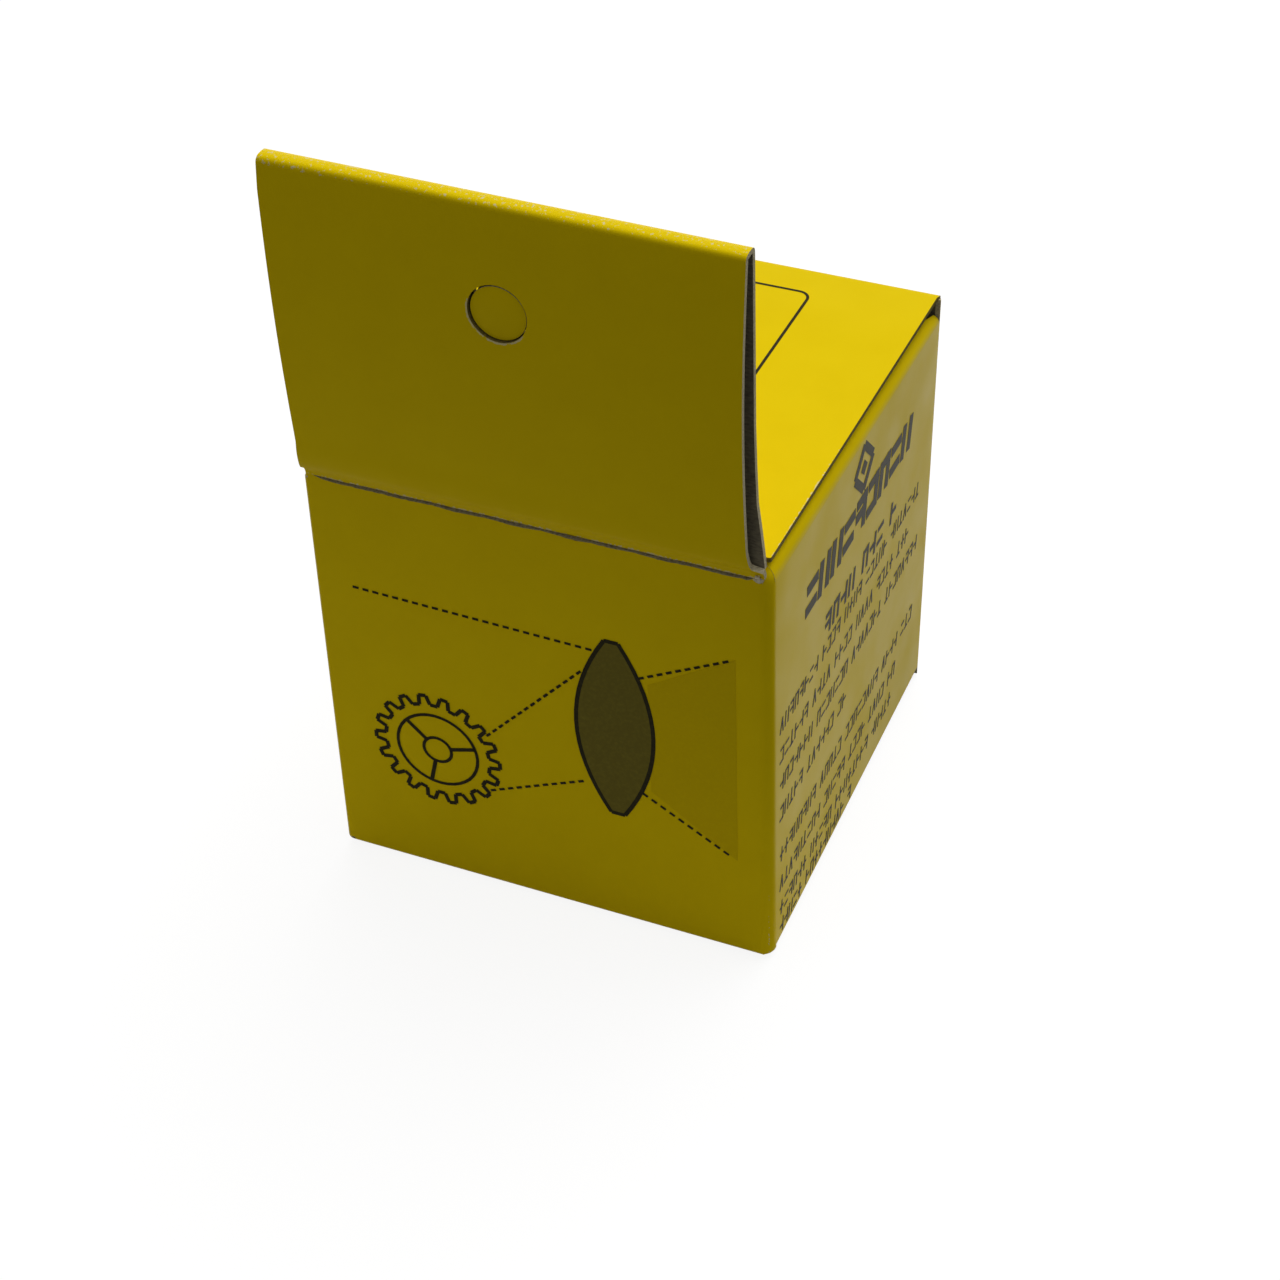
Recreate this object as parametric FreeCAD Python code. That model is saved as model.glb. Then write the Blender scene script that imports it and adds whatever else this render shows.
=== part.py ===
import FreeCAD, Part
import math
import os

# Boxed eye loupe: a folding carton with a doubled hang tab, standing on its base, and a
# magnifier for one eye standing inside it on its eyecup. Millimetres, +Z up, origin at the
# centre of the carton's base. The hang tab rises from the front panel, on the -Y side.

Vec = FreeCAD.Vector
ACROSS = Vec(1, 0, 0)
DEEP = Vec(0, 1, 0)
UP = Vec(0, 0, 1)
ORIGIN = Vec(0, 0, 0)

# Carton board and its creases
board = 0.5
half_board = board / 2
crease_gap = 0.05
tuck_crease_gap = 0.12
layer_gap = 0.1
corner_radius = 1.0
overrun = 1.0

# Carton as it stands
carton_width = 46.0
carton_depth = 46.0
carton_height = 48.05
tab_crease_drop = 1.9

# Lid, base, tuck flaps and dust flaps
lid_side_inset = 0.1
tuck_setback = 0.85
tuck_length = 11.0
tuck_side_inset = 1.5
tuck_corner = 3.5
tuck_tilt_deg = 15.0
dust_length = 14.5
dust_hinge_setback = 0.85
dust_mitre_setback = 0.5
dust_tuck_setback = 2.7
dust_shoulder = 2.0
dust_taper = 2.5
dust_corner = 2.0

# Glue flap, stuck inside the left panel
glue_flap_width = 12.0
glue_flap_end_inset = 4.0
glue_flap_taper = 3.0

# Hang tab: two plies of the same board, folded over at the top
tab_height = 32.5
tab_left_inset = 0.35
tab_left_foot_inset = 0.65
tab_right_inset = 1.75
tab_relief_inset = 1.0
tab_relief_height = 2.0
tab_root_lean_deg = 5.0
tab_belly_lean_deg = 30.0
tab_face_lean_deg = 5.0
tab_top_lean_deg = -4.5
tab_root_bend = 2.0
tab_belly_bend = 8.0
tab_fold_radius = 0.75
tab_back_edge_lift = 1.15

# Hang hole: cut through, its plug left in place on one nick at the top
hole_rise = 23.05
hole_offset = -0.95
hole_radius = 2.775
back_hole_radius = 3.1
plug_cut_gap = 0.075
nick_drop = 0.575
nick_width = 1.6
plug_shoulder_drop = 0.6

# Loupe: eyecup with its neck, thread ring and two lenses with a spacer
cup_floor_gap = 0.05
rim_radius = 17.5
rim_round = 0.6
tube_radius = 13.0
cup_wall = 1.2
flare_height = 12.0
flare_waist_height = 5.2
flare_waist_inset = 0.9
shoulder_height = 30.0
neck_radius = 12.0
neck_height = 34.5
lens_bore_radius = 10.9
seat_height = 24.6
seat_thickness = 1.0
seat_inner_radius = 9.8
window_width = 12.0
window_height = 11.0
window_middle_height = 14.5

# Lenses and spacer
lens_clearance = 0.1
seat_gap = 0.05
lens_edge = 1.6
lens_bulge = 1.3
lens_land = 1.2

# Thread ring that caps the neck
ring_radius = 13.5
ring_shoulder_gap = 0.2
ring_thread_clearance = 0.1
ring_lip_gap = 0.3
ring_lip = 2.8
ring_mouth_radius = 9.8
ring_mouth_flare = 1.3
ring_edge_chamfer = 0.4
ring_flute_count = 28
ring_flute_radius = 0.45
ring_flute_depth = 0.3
ring_flute_margin = 0.9

# Heights and places that follow from the sizes above
base_axis_z = half_board
base_dust_axis_z = board + layer_gap + half_board
lid_axis_z = carton_height - half_board
lid_dust_axis_z = lid_axis_z - board - layer_gap
tab_axis_z = carton_height - tab_crease_drop
crease_reach = half_board + crease_gap
wall_x = carton_width / 2 - half_board
wall_y = carton_depth / 2 - half_board
tuck_axis_y = wall_y - tuck_setback
cup_z = base_dust_axis_z + half_board + cup_floor_gap
lens_radius = lens_bore_radius - lens_clearance
eye_lens_z = seat_height + seat_gap
ring_lip_z = neck_height + ring_lip_gap
field_lens_z = ring_lip_z - seat_gap - lens_edge
ring_top_z = ring_lip_z + ring_lip


def place(shape, origin, along, outward):
    """Turn a flat shape from its own plane, X along the crease and Y away from it, into the part."""
    normal = along.cross(outward)
    turned = FreeCAD.Matrix(
        along.x, outward.x, normal.x, origin.x,
        along.y, outward.y, normal.y, origin.y,
        along.z, outward.z, normal.z, origin.z,
        0, 0, 0, 1,
    )
    return shape.transformed(turned)


def mirrored(shape, normal):
    """The shape's reflection through the origin."""
    return shape.mirror(ORIGIN, normal)


def rounded_outline(points, radii):
    """A closed flat wire through the points, with each corner rounded by its own radius."""
    edges = []
    starts = []
    ends = []
    count = len(points)
    for i in range(count):
        here = points[i]
        before = (points[i - 1] - here).normalize()
        after = (points[(i + 1) % count] - here).normalize()
        if radii[i] == 0:
            starts.append(here)
            ends.append(here)
            continue
        half_turn = math.acos(before.dot(after)) / 2
        cut = radii[i] / math.tan(half_turn)
        first = here + before * cut
        last = here + after * cut
        bisector = (before + after).normalize()
        middle = here + bisector * (radii[i] / math.sin(half_turn) - radii[i])
        edges.append((i, Part.Arc(first, middle, last).toShape()))
        starts.append(first)
        ends.append(last)
    arcs = dict(edges)
    ordered = []
    for i in range(count):
        if i in arcs:
            ordered.append(arcs[i])
        ordered.append(Part.makeLine(ends[i], starts[(i + 1) % count]))
    return Part.Wire(ordered)


def hinged_sheet(points, radii, root_start, root_end):
    """A board panel in its own plane: its rounded root lies on the crease axis, along X."""
    face = Part.Face(rounded_outline(points, radii))
    plate = face.extrude(UP * board)
    plate.translate(UP * -half_board)
    root = Part.makeCylinder(half_board, root_end - root_start, ACROSS * root_start, ACROSS)
    return plate.fuse(root).removeSplitter()


def box_between(low, high):
    """A plain block from its lowest to its highest corner."""
    size = high - low
    return Part.makeBox(size.x, size.y, size.z, low)


# Carton walls
def rounded_prism(inset, radius, low_z, high_z):
    """The carton's plan, moved in by inset, as a prism with rounded corners."""
    half_x = carton_width / 2 - inset
    half_y = carton_depth / 2 - inset
    corners = [Vec(-half_x, -half_y, low_z), Vec(half_x, -half_y, low_z)]
    corners += [Vec(half_x, half_y, low_z), Vec(-half_x, half_y, low_z)]
    plan = Part.Face(rounded_outline(corners, [radius] * len(corners)))
    return plan.extrude(UP * (high_z - low_z))


def wall_wedge(side, low_z, high_z):
    """The part of the plan that belongs to one wall, bounded by mitres through its corners."""
    half_x = carton_width / 2
    half_y = carton_depth / 2
    far = overrun
    near = -2 * corner_radius
    plan = {
        "front": [(-1, -1), (1, -1)],
        "right": [(1, -1), (1, 1)],
        "back": [(1, 1), (-1, 1)],
        "left": [(-1, 1), (-1, -1)],
    }[side]
    outer = [Vec(sx * (half_x + far), sy * (half_y + far), low_z) for sx, sy in plan]
    inner = [Vec(sx * (half_x + near), sy * (half_y + near), low_z) for sx, sy in reversed(plan)]
    face = Part.Face(Part.makePolygon(outer + inner + outer[:1]))
    return face.extrude(UP * (high_z - low_z))


def wall(side, low_z, high_z):
    """One carton wall, with half of the rounded fold at each end."""
    ring = rounded_prism(0, corner_radius, low_z, high_z)
    hollow = rounded_prism(board, corner_radius - board, low_z, high_z)
    return ring.cut(hollow).common(wall_wedge(side, low_z, high_z))


def carton_walls():
    front_low = base_axis_z + crease_reach
    side_low = base_dust_axis_z + crease_reach
    side_high = lid_dust_axis_z - crease_reach
    return {
        "front_panel": wall("front", front_low, tab_axis_z - crease_reach),
        "right_panel": wall("right", side_low, side_high),
        "back_panel": wall("back", 0, lid_axis_z - crease_reach),
        "left_panel": wall("left", side_low, side_high),
    }


def glue_flap():
    """The flap at the end of the back panel, stuck flat to the left panel's inside."""
    low = glue_flap_end_inset
    high = carton_height - glue_flap_end_inset
    start_y = carton_depth / 2 - corner_radius
    end_y = start_y - glue_flap_width
    plan_x = -carton_width / 2 + board
    outline = [Vec(plan_x, start_y, low), Vec(plan_x, end_y, low + glue_flap_taper)]
    outline += [Vec(plan_x, end_y, high - glue_flap_taper), Vec(plan_x, start_y, high)]
    face = Part.Face(Part.makePolygon(outline + outline[:1]))
    return face.extrude(ACROSS * board)


# Lid, base and the flaps that close them
def closing_panel():
    """The lid or base in its own plane, from its crease to the tuck flap's crease."""
    half = carton_width / 2 - lid_side_inset
    reach = wall_y + tuck_axis_y - half_board - tuck_crease_gap
    outline = [Vec(-half, 0, 0), Vec(half, 0, 0), Vec(half, reach, 0), Vec(-half, reach, 0)]
    return hinged_sheet(outline, [0] * len(outline), -half, half)


def tuck_flap():
    """The rounded flap that slides inside the facing wall, in its own plane."""
    half = carton_width / 2 - tuck_side_inset
    outline = [Vec(-half, 0, 0), Vec(half, 0, 0)]
    outline += [Vec(half, tuck_length, 0), Vec(-half, tuck_length, 0)]
    return hinged_sheet(outline, [0, 0, tuck_corner, tuck_corner], -half, half)


def dust_flap():
    """A side flap under the lid: mitred beside the lid's crease, so both can swing together."""
    hinge_end = wall_y - dust_hinge_setback
    tuck_end = -wall_y + dust_tuck_setback
    mitre = wall_y - dust_mitre_setback
    outline = [Vec(tuck_end, 0, 0), Vec(hinge_end, 0, 0), Vec(hinge_end, mitre - hinge_end, 0)]
    outline += [Vec(mitre - dust_length, dust_length, 0)]
    outline += [Vec(tuck_end + dust_taper, dust_length, 0), Vec(tuck_end, dust_shoulder, 0)]
    radii = [0, 0, 0, dust_corner, dust_corner, 0]
    return hinged_sheet(outline, radii, tuck_end, hinge_end)


def closures():
    tilt = math.radians(tuck_tilt_deg)
    lid = place(closing_panel(), Vec(0, wall_y, lid_axis_z), ACROSS, -DEEP)
    base = place(closing_panel(), Vec(0, -wall_y, base_axis_z), ACROSS, DEEP)
    lid_tuck_way = Vec(0, math.sin(tilt), -math.cos(tilt))
    base_tuck_way = Vec(0, -math.sin(tilt), math.cos(tilt))
    lid_tuck = place(tuck_flap(), Vec(0, -tuck_axis_y, lid_axis_z), ACROSS, lid_tuck_way)
    base_tuck = place(tuck_flap(), Vec(0, tuck_axis_y, base_axis_z), ACROSS, base_tuck_way)
    right = place(dust_flap(), Vec(wall_x, 0, lid_dust_axis_z), DEEP, -ACROSS)
    base_right = mirrored(place(dust_flap(), Vec(wall_x, 0, base_dust_axis_z), DEEP, -ACROSS), DEEP)
    return {
        "lid_panel": lid,
        "lid_tuck_flap": lid_tuck,
        "top_dust_flap_right": right,
        "top_dust_flap_left": mirrored(right, ACROSS),
        "bottom_panel": base,
        "bottom_tuck_flap": base_tuck,
        "bottom_dust_flap_right": base_right,
        "bottom_dust_flap_left": mirrored(base_right, ACROSS),
    }


# Hang tab, seen from the side as bends from one lean to the next
def bend_end(start, lean, next_lean, radius):
    """Where a bend ends: leans are in radians from +Z towards the front."""
    way = 1 if next_lean > lean else -1
    step_y = way * radius * (math.cos(next_lean) - math.cos(lean))
    step_z = way * radius * (math.sin(next_lean) - math.sin(lean))
    return start + Vec(0, step_y, step_z)


def off_face(point, lean, offset):
    """The point moved square to the sheet, towards its outer face."""
    return point + Vec(0, -math.cos(lean), -math.sin(lean)) * offset


def bend_strip(start, lean, next_lean, radius):
    """The side outline of one bend of the board, as a face."""
    middle_lean = (lean + next_lean) / 2
    middle = bend_end(start, lean, middle_lean, radius)
    end = bend_end(start, lean, next_lean, radius)
    arcs = []
    for offset in (half_board, -half_board):
        points = [off_face(start, lean, offset), off_face(middle, middle_lean, offset)]
        points.append(off_face(end, next_lean, offset))
        arcs.append(Part.Arc(*points).toShape())
    near = Part.makeLine(arcs[0].Vertexes[0].Point, arcs[1].Vertexes[0].Point)
    far = Part.makeLine(arcs[0].Vertexes[-1].Point, arcs[1].Vertexes[-1].Point)
    return Part.Face(Part.Wire([near, arcs[0], far, arcs[1]]))


def tab_leans():
    names = [tab_root_lean_deg, tab_belly_lean_deg, tab_face_lean_deg, tab_top_lean_deg]
    return [math.radians(value) for value in names]


def tab_path():
    """The points where the tab's bends meet, crease to top fold, and the front face's bend."""
    root, belly, face, top = tab_leans()
    crease = Vec(0, -wall_y, tab_axis_z)
    belly_start = bend_end(crease, root, belly, tab_root_bend)
    face_start = bend_end(belly_start, belly, face, tab_belly_bend)
    face_rise = tab_axis_z + tab_height - face_start.z
    face_bend = face_rise / (math.sin(face) - math.sin(top))
    fold_start = bend_end(face_start, face, top, face_bend)
    fold_end = bend_end(fold_start, top, -math.pi, tab_fold_radius)
    return [crease, belly_start, face_start, fold_start, fold_end], face_bend


def tab_trim():
    """The tab's outline seen from the front, as a block that keeps what lies inside it."""
    left = -carton_width / 2 + tab_left_inset
    left_foot = -carton_width / 2 + tab_left_foot_inset
    notch_z = lid_dust_axis_z - half_board
    right = carton_width / 2 - tab_right_inset
    foot = carton_width / 2 - tab_relief_inset
    low = tab_axis_z - board
    high = tab_axis_z + tab_height + 2 * tab_fold_radius + overrun
    y = -carton_depth / 2 - tab_height / 2
    relief_top = tab_axis_z + tab_relief_height
    relief_middle = Vec(right + (foot - right) / 4, y, tab_axis_z + tab_relief_height / 2)
    corner_top = Vec(right, y, relief_top)
    corner_foot = Vec(foot, y, tab_axis_z)
    edges = [Part.makeLine(Vec(left_foot, y, low), Vec(left_foot, y, notch_z))]
    edges.append(Part.makeLine(Vec(left_foot, y, notch_z), Vec(left, y, notch_z)))
    edges.append(Part.makeLine(Vec(left, y, notch_z), Vec(left, y, high)))
    edges.append(Part.makeLine(Vec(left, y, high), Vec(right, y, high)))
    edges.append(Part.makeLine(Vec(right, y, high), corner_top))
    edges.append(Part.Arc(corner_top, relief_middle, corner_foot).toShape())
    edges.append(Part.makeLine(corner_foot, Vec(foot, y, low)))
    edges.append(Part.makeLine(Vec(foot, y, low), Vec(left_foot, y, low)))
    return Part.Face(Part.Wire(edges)).extrude(DEEP * tab_height)


def across_strip(face):
    """A side outline drawn out over the carton's whole width."""
    solid = face.extrude(ACROSS * carton_width)
    solid.translate(ACROSS * (-carton_width / 2))
    return solid


def plain_front_ply():
    leans = tab_leans()
    points, face_bend = tab_path()
    bends = [tab_root_bend, tab_belly_bend, face_bend]
    root_start = points[0] - ACROSS * (carton_width / 2)
    root = Part.makeCylinder(half_board, carton_width, root_start, ACROSS)
    strips = []
    for i in range(len(bends)):
        strips.append(across_strip(bend_strip(points[i], leans[i], leans[i + 1], bends[i])))
    return root.multiFuse(strips).removeSplitter().common(tab_trim())


def tab_top_fold():
    points = tab_path()[0]
    side = bend_strip(points[-2], tab_leans()[-1], -math.pi, tab_fold_radius)
    return across_strip(side).common(tab_trim())


def plain_back_ply():
    top = tab_path()[0][-1]
    low_z = tab_axis_z + tab_back_edge_lift
    left = -carton_width / 2 + tab_left_inset
    right = carton_width / 2 - tab_right_inset
    return box_between(Vec(left, top.y - half_board, low_z), Vec(right, top.y + half_board, top.z))


def hole_cutter(radius):
    """A cylinder along the hang hole, through both plies."""
    centre_z = tab_axis_z + hole_rise
    start = Vec(hole_offset, -carton_depth / 2 - tab_height / 2, centre_z)
    return Part.makeCylinder(radius, tab_height, start, DEEP)


def ply_middle_y(ply, radius):
    """How far back the middle of the ply lies at the plug's nick."""
    nick_z = tab_axis_z + hole_rise + radius - nick_drop
    probe = Part.makeLine(Vec(0, -carton_depth, nick_z), Vec(0, 0, nick_z))
    box = ply.common(probe).BoundBox
    return (box.YMin + box.YMax) / 2


def plug(ply, radius):
    """The disc left in the hang hole, held by a nick on its hinge line and cut free elsewhere."""
    nick_z = tab_axis_z + hole_rise + radius - nick_drop
    shoulder_z = nick_z - plug_shoulder_drop
    nick_left = hole_offset - nick_width / 2
    disc = ply.common(hole_cutter(radius - plug_cut_gap))
    above = Vec(hole_offset - radius, -carton_depth, shoulder_z)
    disc = disc.cut(Part.makeBox(2 * radius, carton_depth, 2 * radius, above))
    tongue = Vec(nick_left, -carton_depth, shoulder_z - board)
    neck = ply.common(Part.makeBox(nick_width, carton_depth, plug_shoulder_drop + board, tongue))
    hinge = Vec(nick_left, ply_middle_y(ply, radius), nick_z)
    root = Part.makeCylinder(half_board, nick_width, hinge, ACROSS)
    return disc.multiFuse([neck, root]).removeSplitter()


def hang_tab():
    front = plain_front_ply()
    back = plain_back_ply()
    return {
        "tab_front_ply": front.cut(hole_cutter(hole_radius)),
        "tab_top_fold": tab_top_fold(),
        "tab_back_ply": back.cut(hole_cutter(back_hole_radius)),
        "tab_front_plug": plug(front, hole_radius),
        "tab_back_plug": plug(back, back_hole_radius),
    }


# Loupe, drawn from its rim up and then stood in the carton
def turned(edges):
    """A solid of revolution about Z from a closed outline of edges in the XZ plane."""
    face = Part.Face(Part.Wire(edges))
    return face.revolve(ORIGIN, UP, 360)


def line(first, last):
    return Part.makeLine(Vec(first[0], 0, first[1]), Vec(last[0], 0, last[1]))


def arc(first, middle, last):
    points = [Vec(radius, 0, height) for radius, height in (first, middle, last)]
    return Part.Arc(*points).toShape()


def lines(points):
    return [line(points[i], points[i + 1]) for i in range(len(points) - 1)]


def eyecup_profile():
    waist = tube_radius + flare_waist_inset
    flare_out = [(rim_radius, rim_round), (waist, flare_waist_height), (tube_radius, flare_height)]
    flare_in = [(radius - cup_wall, height) for radius, height in reversed(flare_out)]
    bore = tube_radius - cup_wall
    seat_low = seat_height - seat_thickness
    edges = [arc(*flare_out)]
    edges += lines([
        flare_out[-1], (tube_radius, shoulder_height), (neck_radius, shoulder_height),
        (neck_radius, neck_height), (lens_bore_radius, neck_height),
        (lens_bore_radius, seat_height), (seat_inner_radius, seat_height),
        (seat_inner_radius, seat_low), (bore, seat_low - (bore - seat_inner_radius)),
        flare_in[0],
    ])
    edges.append(arc(*flare_in))
    rim_middle = (rim_radius - cup_wall / 2, 0)
    edges.append(arc(flare_in[-1], rim_middle, flare_out[0]))
    return edges


def window_cutter():
    """The arched opening in the eyecup's right side, straight-sided below and round above."""
    half = window_width / 2
    low = window_middle_height - window_height / 2
    spring = low + window_height - half
    points = [Vec(0, -half, low), Vec(0, half, low), Vec(0, half, spring)]
    edges = [Part.makeLine(points[0], points[1]), Part.makeLine(points[1], points[2])]
    crown = Vec(0, 0, low + window_height)
    last = Vec(0, -half, spring)
    edges.append(Part.Arc(points[2], crown, last).toShape())
    edges.append(Part.makeLine(last, points[0]))
    return Part.Face(Part.Wire(edges)).extrude(ACROSS * (rim_radius + overrun))


def eyecup():
    return turned(eyecup_profile()).cut(window_cutter())


def lens_cap(flat_z, curve_z):
    """The domed face of a lens, above its flat land where curve_z is lower, and else below it."""
    land = lens_radius - lens_land
    curve = (land ** 2 + lens_bulge ** 2) / (2 * lens_bulge)
    way = UP if curve_z < flat_z else -UP
    sphere = Part.makeSphere(curve, UP * curve_z)
    keep = Part.makeCylinder(lens_radius, lens_bulge + overrun, UP * flat_z, way)
    return sphere.common(keep)


def lens(low_z):
    """A biconvex lens with a flat land at its edge, on both faces."""
    land = lens_radius - lens_land
    curve = (land ** 2 + lens_bulge ** 2) / (2 * lens_bulge)
    high_z = low_z + lens_edge
    disc = Part.makeCylinder(lens_radius, lens_edge, UP * low_z)
    upper = lens_cap(high_z, high_z + lens_bulge - curve)
    lower = lens_cap(low_z, low_z - lens_bulge + curve)
    return disc.multiFuse([upper, lower]).removeSplitter()


def lens_spacer():
    low = eye_lens_z + lens_edge
    high = field_lens_z
    points = [(seat_inner_radius, low), (lens_radius, low), (lens_radius, high)]
    points += [(seat_inner_radius, high), (seat_inner_radius, low)]
    return turned(lines(points))


def thread_ring():
    """The front ring: a skirt over the neck, and a lip that holds the lenses down."""
    skirt_low = shoulder_height + ring_shoulder_gap
    skirt_inner = neck_radius + ring_thread_clearance
    edge = ring_edge_chamfer
    points = [(skirt_inner, skirt_low), (ring_radius - edge, skirt_low), (ring_radius, skirt_low + edge)]
    points += [(ring_radius, ring_top_z - edge), (ring_radius - edge, ring_top_z)]
    points += [(ring_mouth_radius + ring_mouth_flare, ring_top_z)]
    points += [(ring_mouth_radius, ring_top_z - ring_mouth_flare), (ring_mouth_radius, ring_lip_z)]
    points += [(skirt_inner, ring_lip_z), (skirt_inner, skirt_low)]
    ring = turned(lines(points))
    low = skirt_low + ring_flute_margin
    height = ring_top_z - ring_flute_margin - low
    reach = ring_radius + ring_flute_radius - ring_flute_depth
    flutes = []
    for number in range(ring_flute_count):
        angle = 2 * math.pi * number / ring_flute_count
        foot = Vec(reach * math.cos(angle), reach * math.sin(angle), low)
        flutes.append(Part.makeCylinder(ring_flute_radius, height, foot, UP))
    return ring.cut(Part.makeCompound(flutes))


def loupe():
    pieces = {
        "eyecup_shell": eyecup(),
        "eye_lens": lens(eye_lens_z),
        "lens_spacer": lens_spacer(),
        "field_lens": lens(field_lens_z),
        "lens_ring": thread_ring(),
    }
    for shape in pieces.values():
        shape.translate(UP * cup_z)
    return pieces


def main():
    os.makedirs("parts", exist_ok=True)
    nodes = {}
    nodes.update(carton_walls())
    nodes["glue_flap"] = glue_flap()
    nodes.update(closures())
    nodes.update(hang_tab())
    nodes.update(loupe())
    for name, shape in nodes.items():
        solids = shape.Solids
        print(name, len(solids), round(shape.Volume, 2), shape.isValid())
        solid = solids[0] if len(solids) == 1 else Part.makeCompound(solids)
        solid.exportStep(f"parts/{name}.step")


main()
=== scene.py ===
import math
import random

import bmesh
import bpy
from mathutils import Matrix, Vector, noise


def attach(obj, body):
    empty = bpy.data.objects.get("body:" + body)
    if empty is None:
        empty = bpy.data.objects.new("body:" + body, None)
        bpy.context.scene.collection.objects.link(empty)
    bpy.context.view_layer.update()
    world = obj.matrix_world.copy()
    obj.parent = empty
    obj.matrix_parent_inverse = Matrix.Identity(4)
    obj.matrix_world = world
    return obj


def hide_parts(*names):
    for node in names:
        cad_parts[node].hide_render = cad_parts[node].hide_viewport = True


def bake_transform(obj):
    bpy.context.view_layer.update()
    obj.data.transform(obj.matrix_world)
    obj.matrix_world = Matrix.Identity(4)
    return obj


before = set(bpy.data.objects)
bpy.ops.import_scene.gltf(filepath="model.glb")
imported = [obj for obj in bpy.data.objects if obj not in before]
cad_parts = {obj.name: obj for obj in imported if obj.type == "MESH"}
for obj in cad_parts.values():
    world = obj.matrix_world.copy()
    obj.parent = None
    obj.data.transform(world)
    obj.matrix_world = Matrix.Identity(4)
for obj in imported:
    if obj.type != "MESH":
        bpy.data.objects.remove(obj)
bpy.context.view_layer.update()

# Boxed eye loupe: a folding carton of printed board with a doubled hang tab, and the loupe
# that stands in it. Pieces are shaped in millimetres and turned to metres when they are done.
MM = 0.001
ALONG_X = (1, 0, 0)
ALONG_Y = (0, 1, 0)
ALONG_Z = (0, 0, 1)

# A corner this close to a plane counts as lying on it, when corners are picked
near = 0.01

# Carton board, in millimetres
board = 0.5
wall = 23.0
carton_top = 48.05
back_wall = 23.6
corner_radius = 1.25
sharp_corner = 0.5
corner_steps = 8
fold_steps = 8
turn_middle_z = carton_top / 2
wall_cuts = (-18, -12, -6, 0, 6, 12, 18)
back_foot = 0.06
back_corner_band = 0.05
top_press_turns = (15, 30, 45, 58)
base_press_turns = (15, 30, 45, 60)

# How far the handled carton stands out of true: at its right wall's corners, at its feet, and at
# the top of the hang tab, which is free from tab_free_z up
right_front_foot = 0.4
right_back_foot = -0.25
right_back_top = 0.28
left_foot = -0.2
front_foot = -0.3
tab_top_left = -0.2
tab_top_right = -0.75
tab_free_z = carton_top + 1.0

# Lid and base
lid_half = 22.65
lid_fold_radius = 0.35
lid_fold_half = 22.8
lid_rise = 0.2
base_fold_radius = 0.7
base_fold_half = 22.1
lid_wing_y = -22.2
lid_corner = 0.2
tuck_half = 21.5
tuck_fold_radius = 0.6
tuck_fold_y = -21.444
tuck_lean = math.radians(15)
tuck_run = 10.9
tuck_corner = 3.5
tuck_strip = 0.002

# Dust flaps, one layer under the lid
dust_top = 47.45
dust_fold_radius = 2.0
base_dust_fold_radius = 0.5
dust_back_y = 22.9
base_dust_back_y = 21.9
dust_front_y = -22.0
base_dust_front_y = -23.05
dust_flap_y = -20.05
dust_root = 0.3
dust_shoulder = 0.8
dust_end_x = 8.5
dust_taper = 2.5
dust_corner = 2.0
dust_mitre_gap = 0.75
dust_mitre_share = 0.7
dust_sag = 0.9

# A fold starts to bend this far before its round, and the crack stops this far past its crease
fold_lead = 0.1

# Crack between the front panel and the hang tab: a slow and a quick wave of noise, which taper
# towards the two bridges of board that still hold at its ends
crack_low_z = 45.74
crack_waves = 110
crack_slow = 0.17
crack_quick = 0.08
crack_close = 0.37
crack_tapers = (2.4, 0.6)
crack_pitches = (0.35, 2.3)
crack_rows = (0, 31)
crack_tab_share = 0.35
crack_front_y = -22.9
crack_edge_least = 3
crack_left_drop = 0.1
bridge_ends = ((-22.45, -21.95), (21.35, 22.2))
bridge_reach = (0.1, 0.2)
bridge_proud = 0.004
bridge_cuts = 7

# Hang tab, seen from the side: leans in degrees and centreline bends as on the carton
crease_y = -22.75
crease_z = 46.15
tab_left = -22.65
tab_leans = [math.radians(value) for value in (5, 30, 5, -4.5)]
tab_bends = (2.0, 8.0, 171.31)
tab_fold_radius = 1.0
tab_fold_centre = (-23.428, 78.591)
tab_right = 21.3
tab_twist = 0.3
tab_foot_drop = 0.35
tab_foot_width = 0.8
tab_foot_height = 0.1
tab_top_square = 0.6
front_edge = ((46.0, 22.0), (46.6, 21.67), (47.2, 21.42), (47.9, 21.25), (49.5, 21.2), (60.0, 21.22),
              (80.0, tab_right))
back_edge = ((47.3, 22.4), (49.3, 22.2), (51.1, 22.0), (54.0, 21.65), (58.0, 21.5), (62.0, 21.4),
             (80.0, tab_right))
tab_back_low = 47.3
left_bow = ((46.1, -0.40), (47.7, -0.28), (49.0, 0.0), (50.4, 0.32), (57.2, 0.30), (66.0, 0.15),
            (72.0, 0.0), (77.5, -0.2), (79.4, 0.0))
tab_face_steps = 14
tab_belly_steps = 14
tab_root_steps = 6
tab_fold_steps = 14

# Torn board at the foot of the tab's right end
fibre_sides = (21.6, 22.02)
fibre_ends = (-23.22, -22.55)
fibre_z = 46.62
fibre_size = 0.3
fibre_lump = (21.85, -23.02, 46.06)
fibre_lump_size = (0.52, 0.2, 0.27)
fibre_fray = 0.1
fibre_pitch = 3.1
fibre_turn = 150
fibre_merge = 0.001
fibre_seed = 4

# Hang hole and its plugs
hole_x = -0.7
hole_z = 69.4
hole_radius = 2.775
back_hole_radius = 3.1
cutter_depth = 1.6
cutter_sides = 64
plug_sides = 56
plug_gap = 0.15
back_plug_gap = 0.25
plug_edges = (0.05, 0.25)
back_plug_edges = (0.05, 0.1)
plug_front_y = -24.655
plug_tilt = (0.012, -0.02)
back_plug_tilt = (0.02, -0.03)
plug_sink = 0.1
plug_shift = (0.045, -0.005)

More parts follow.
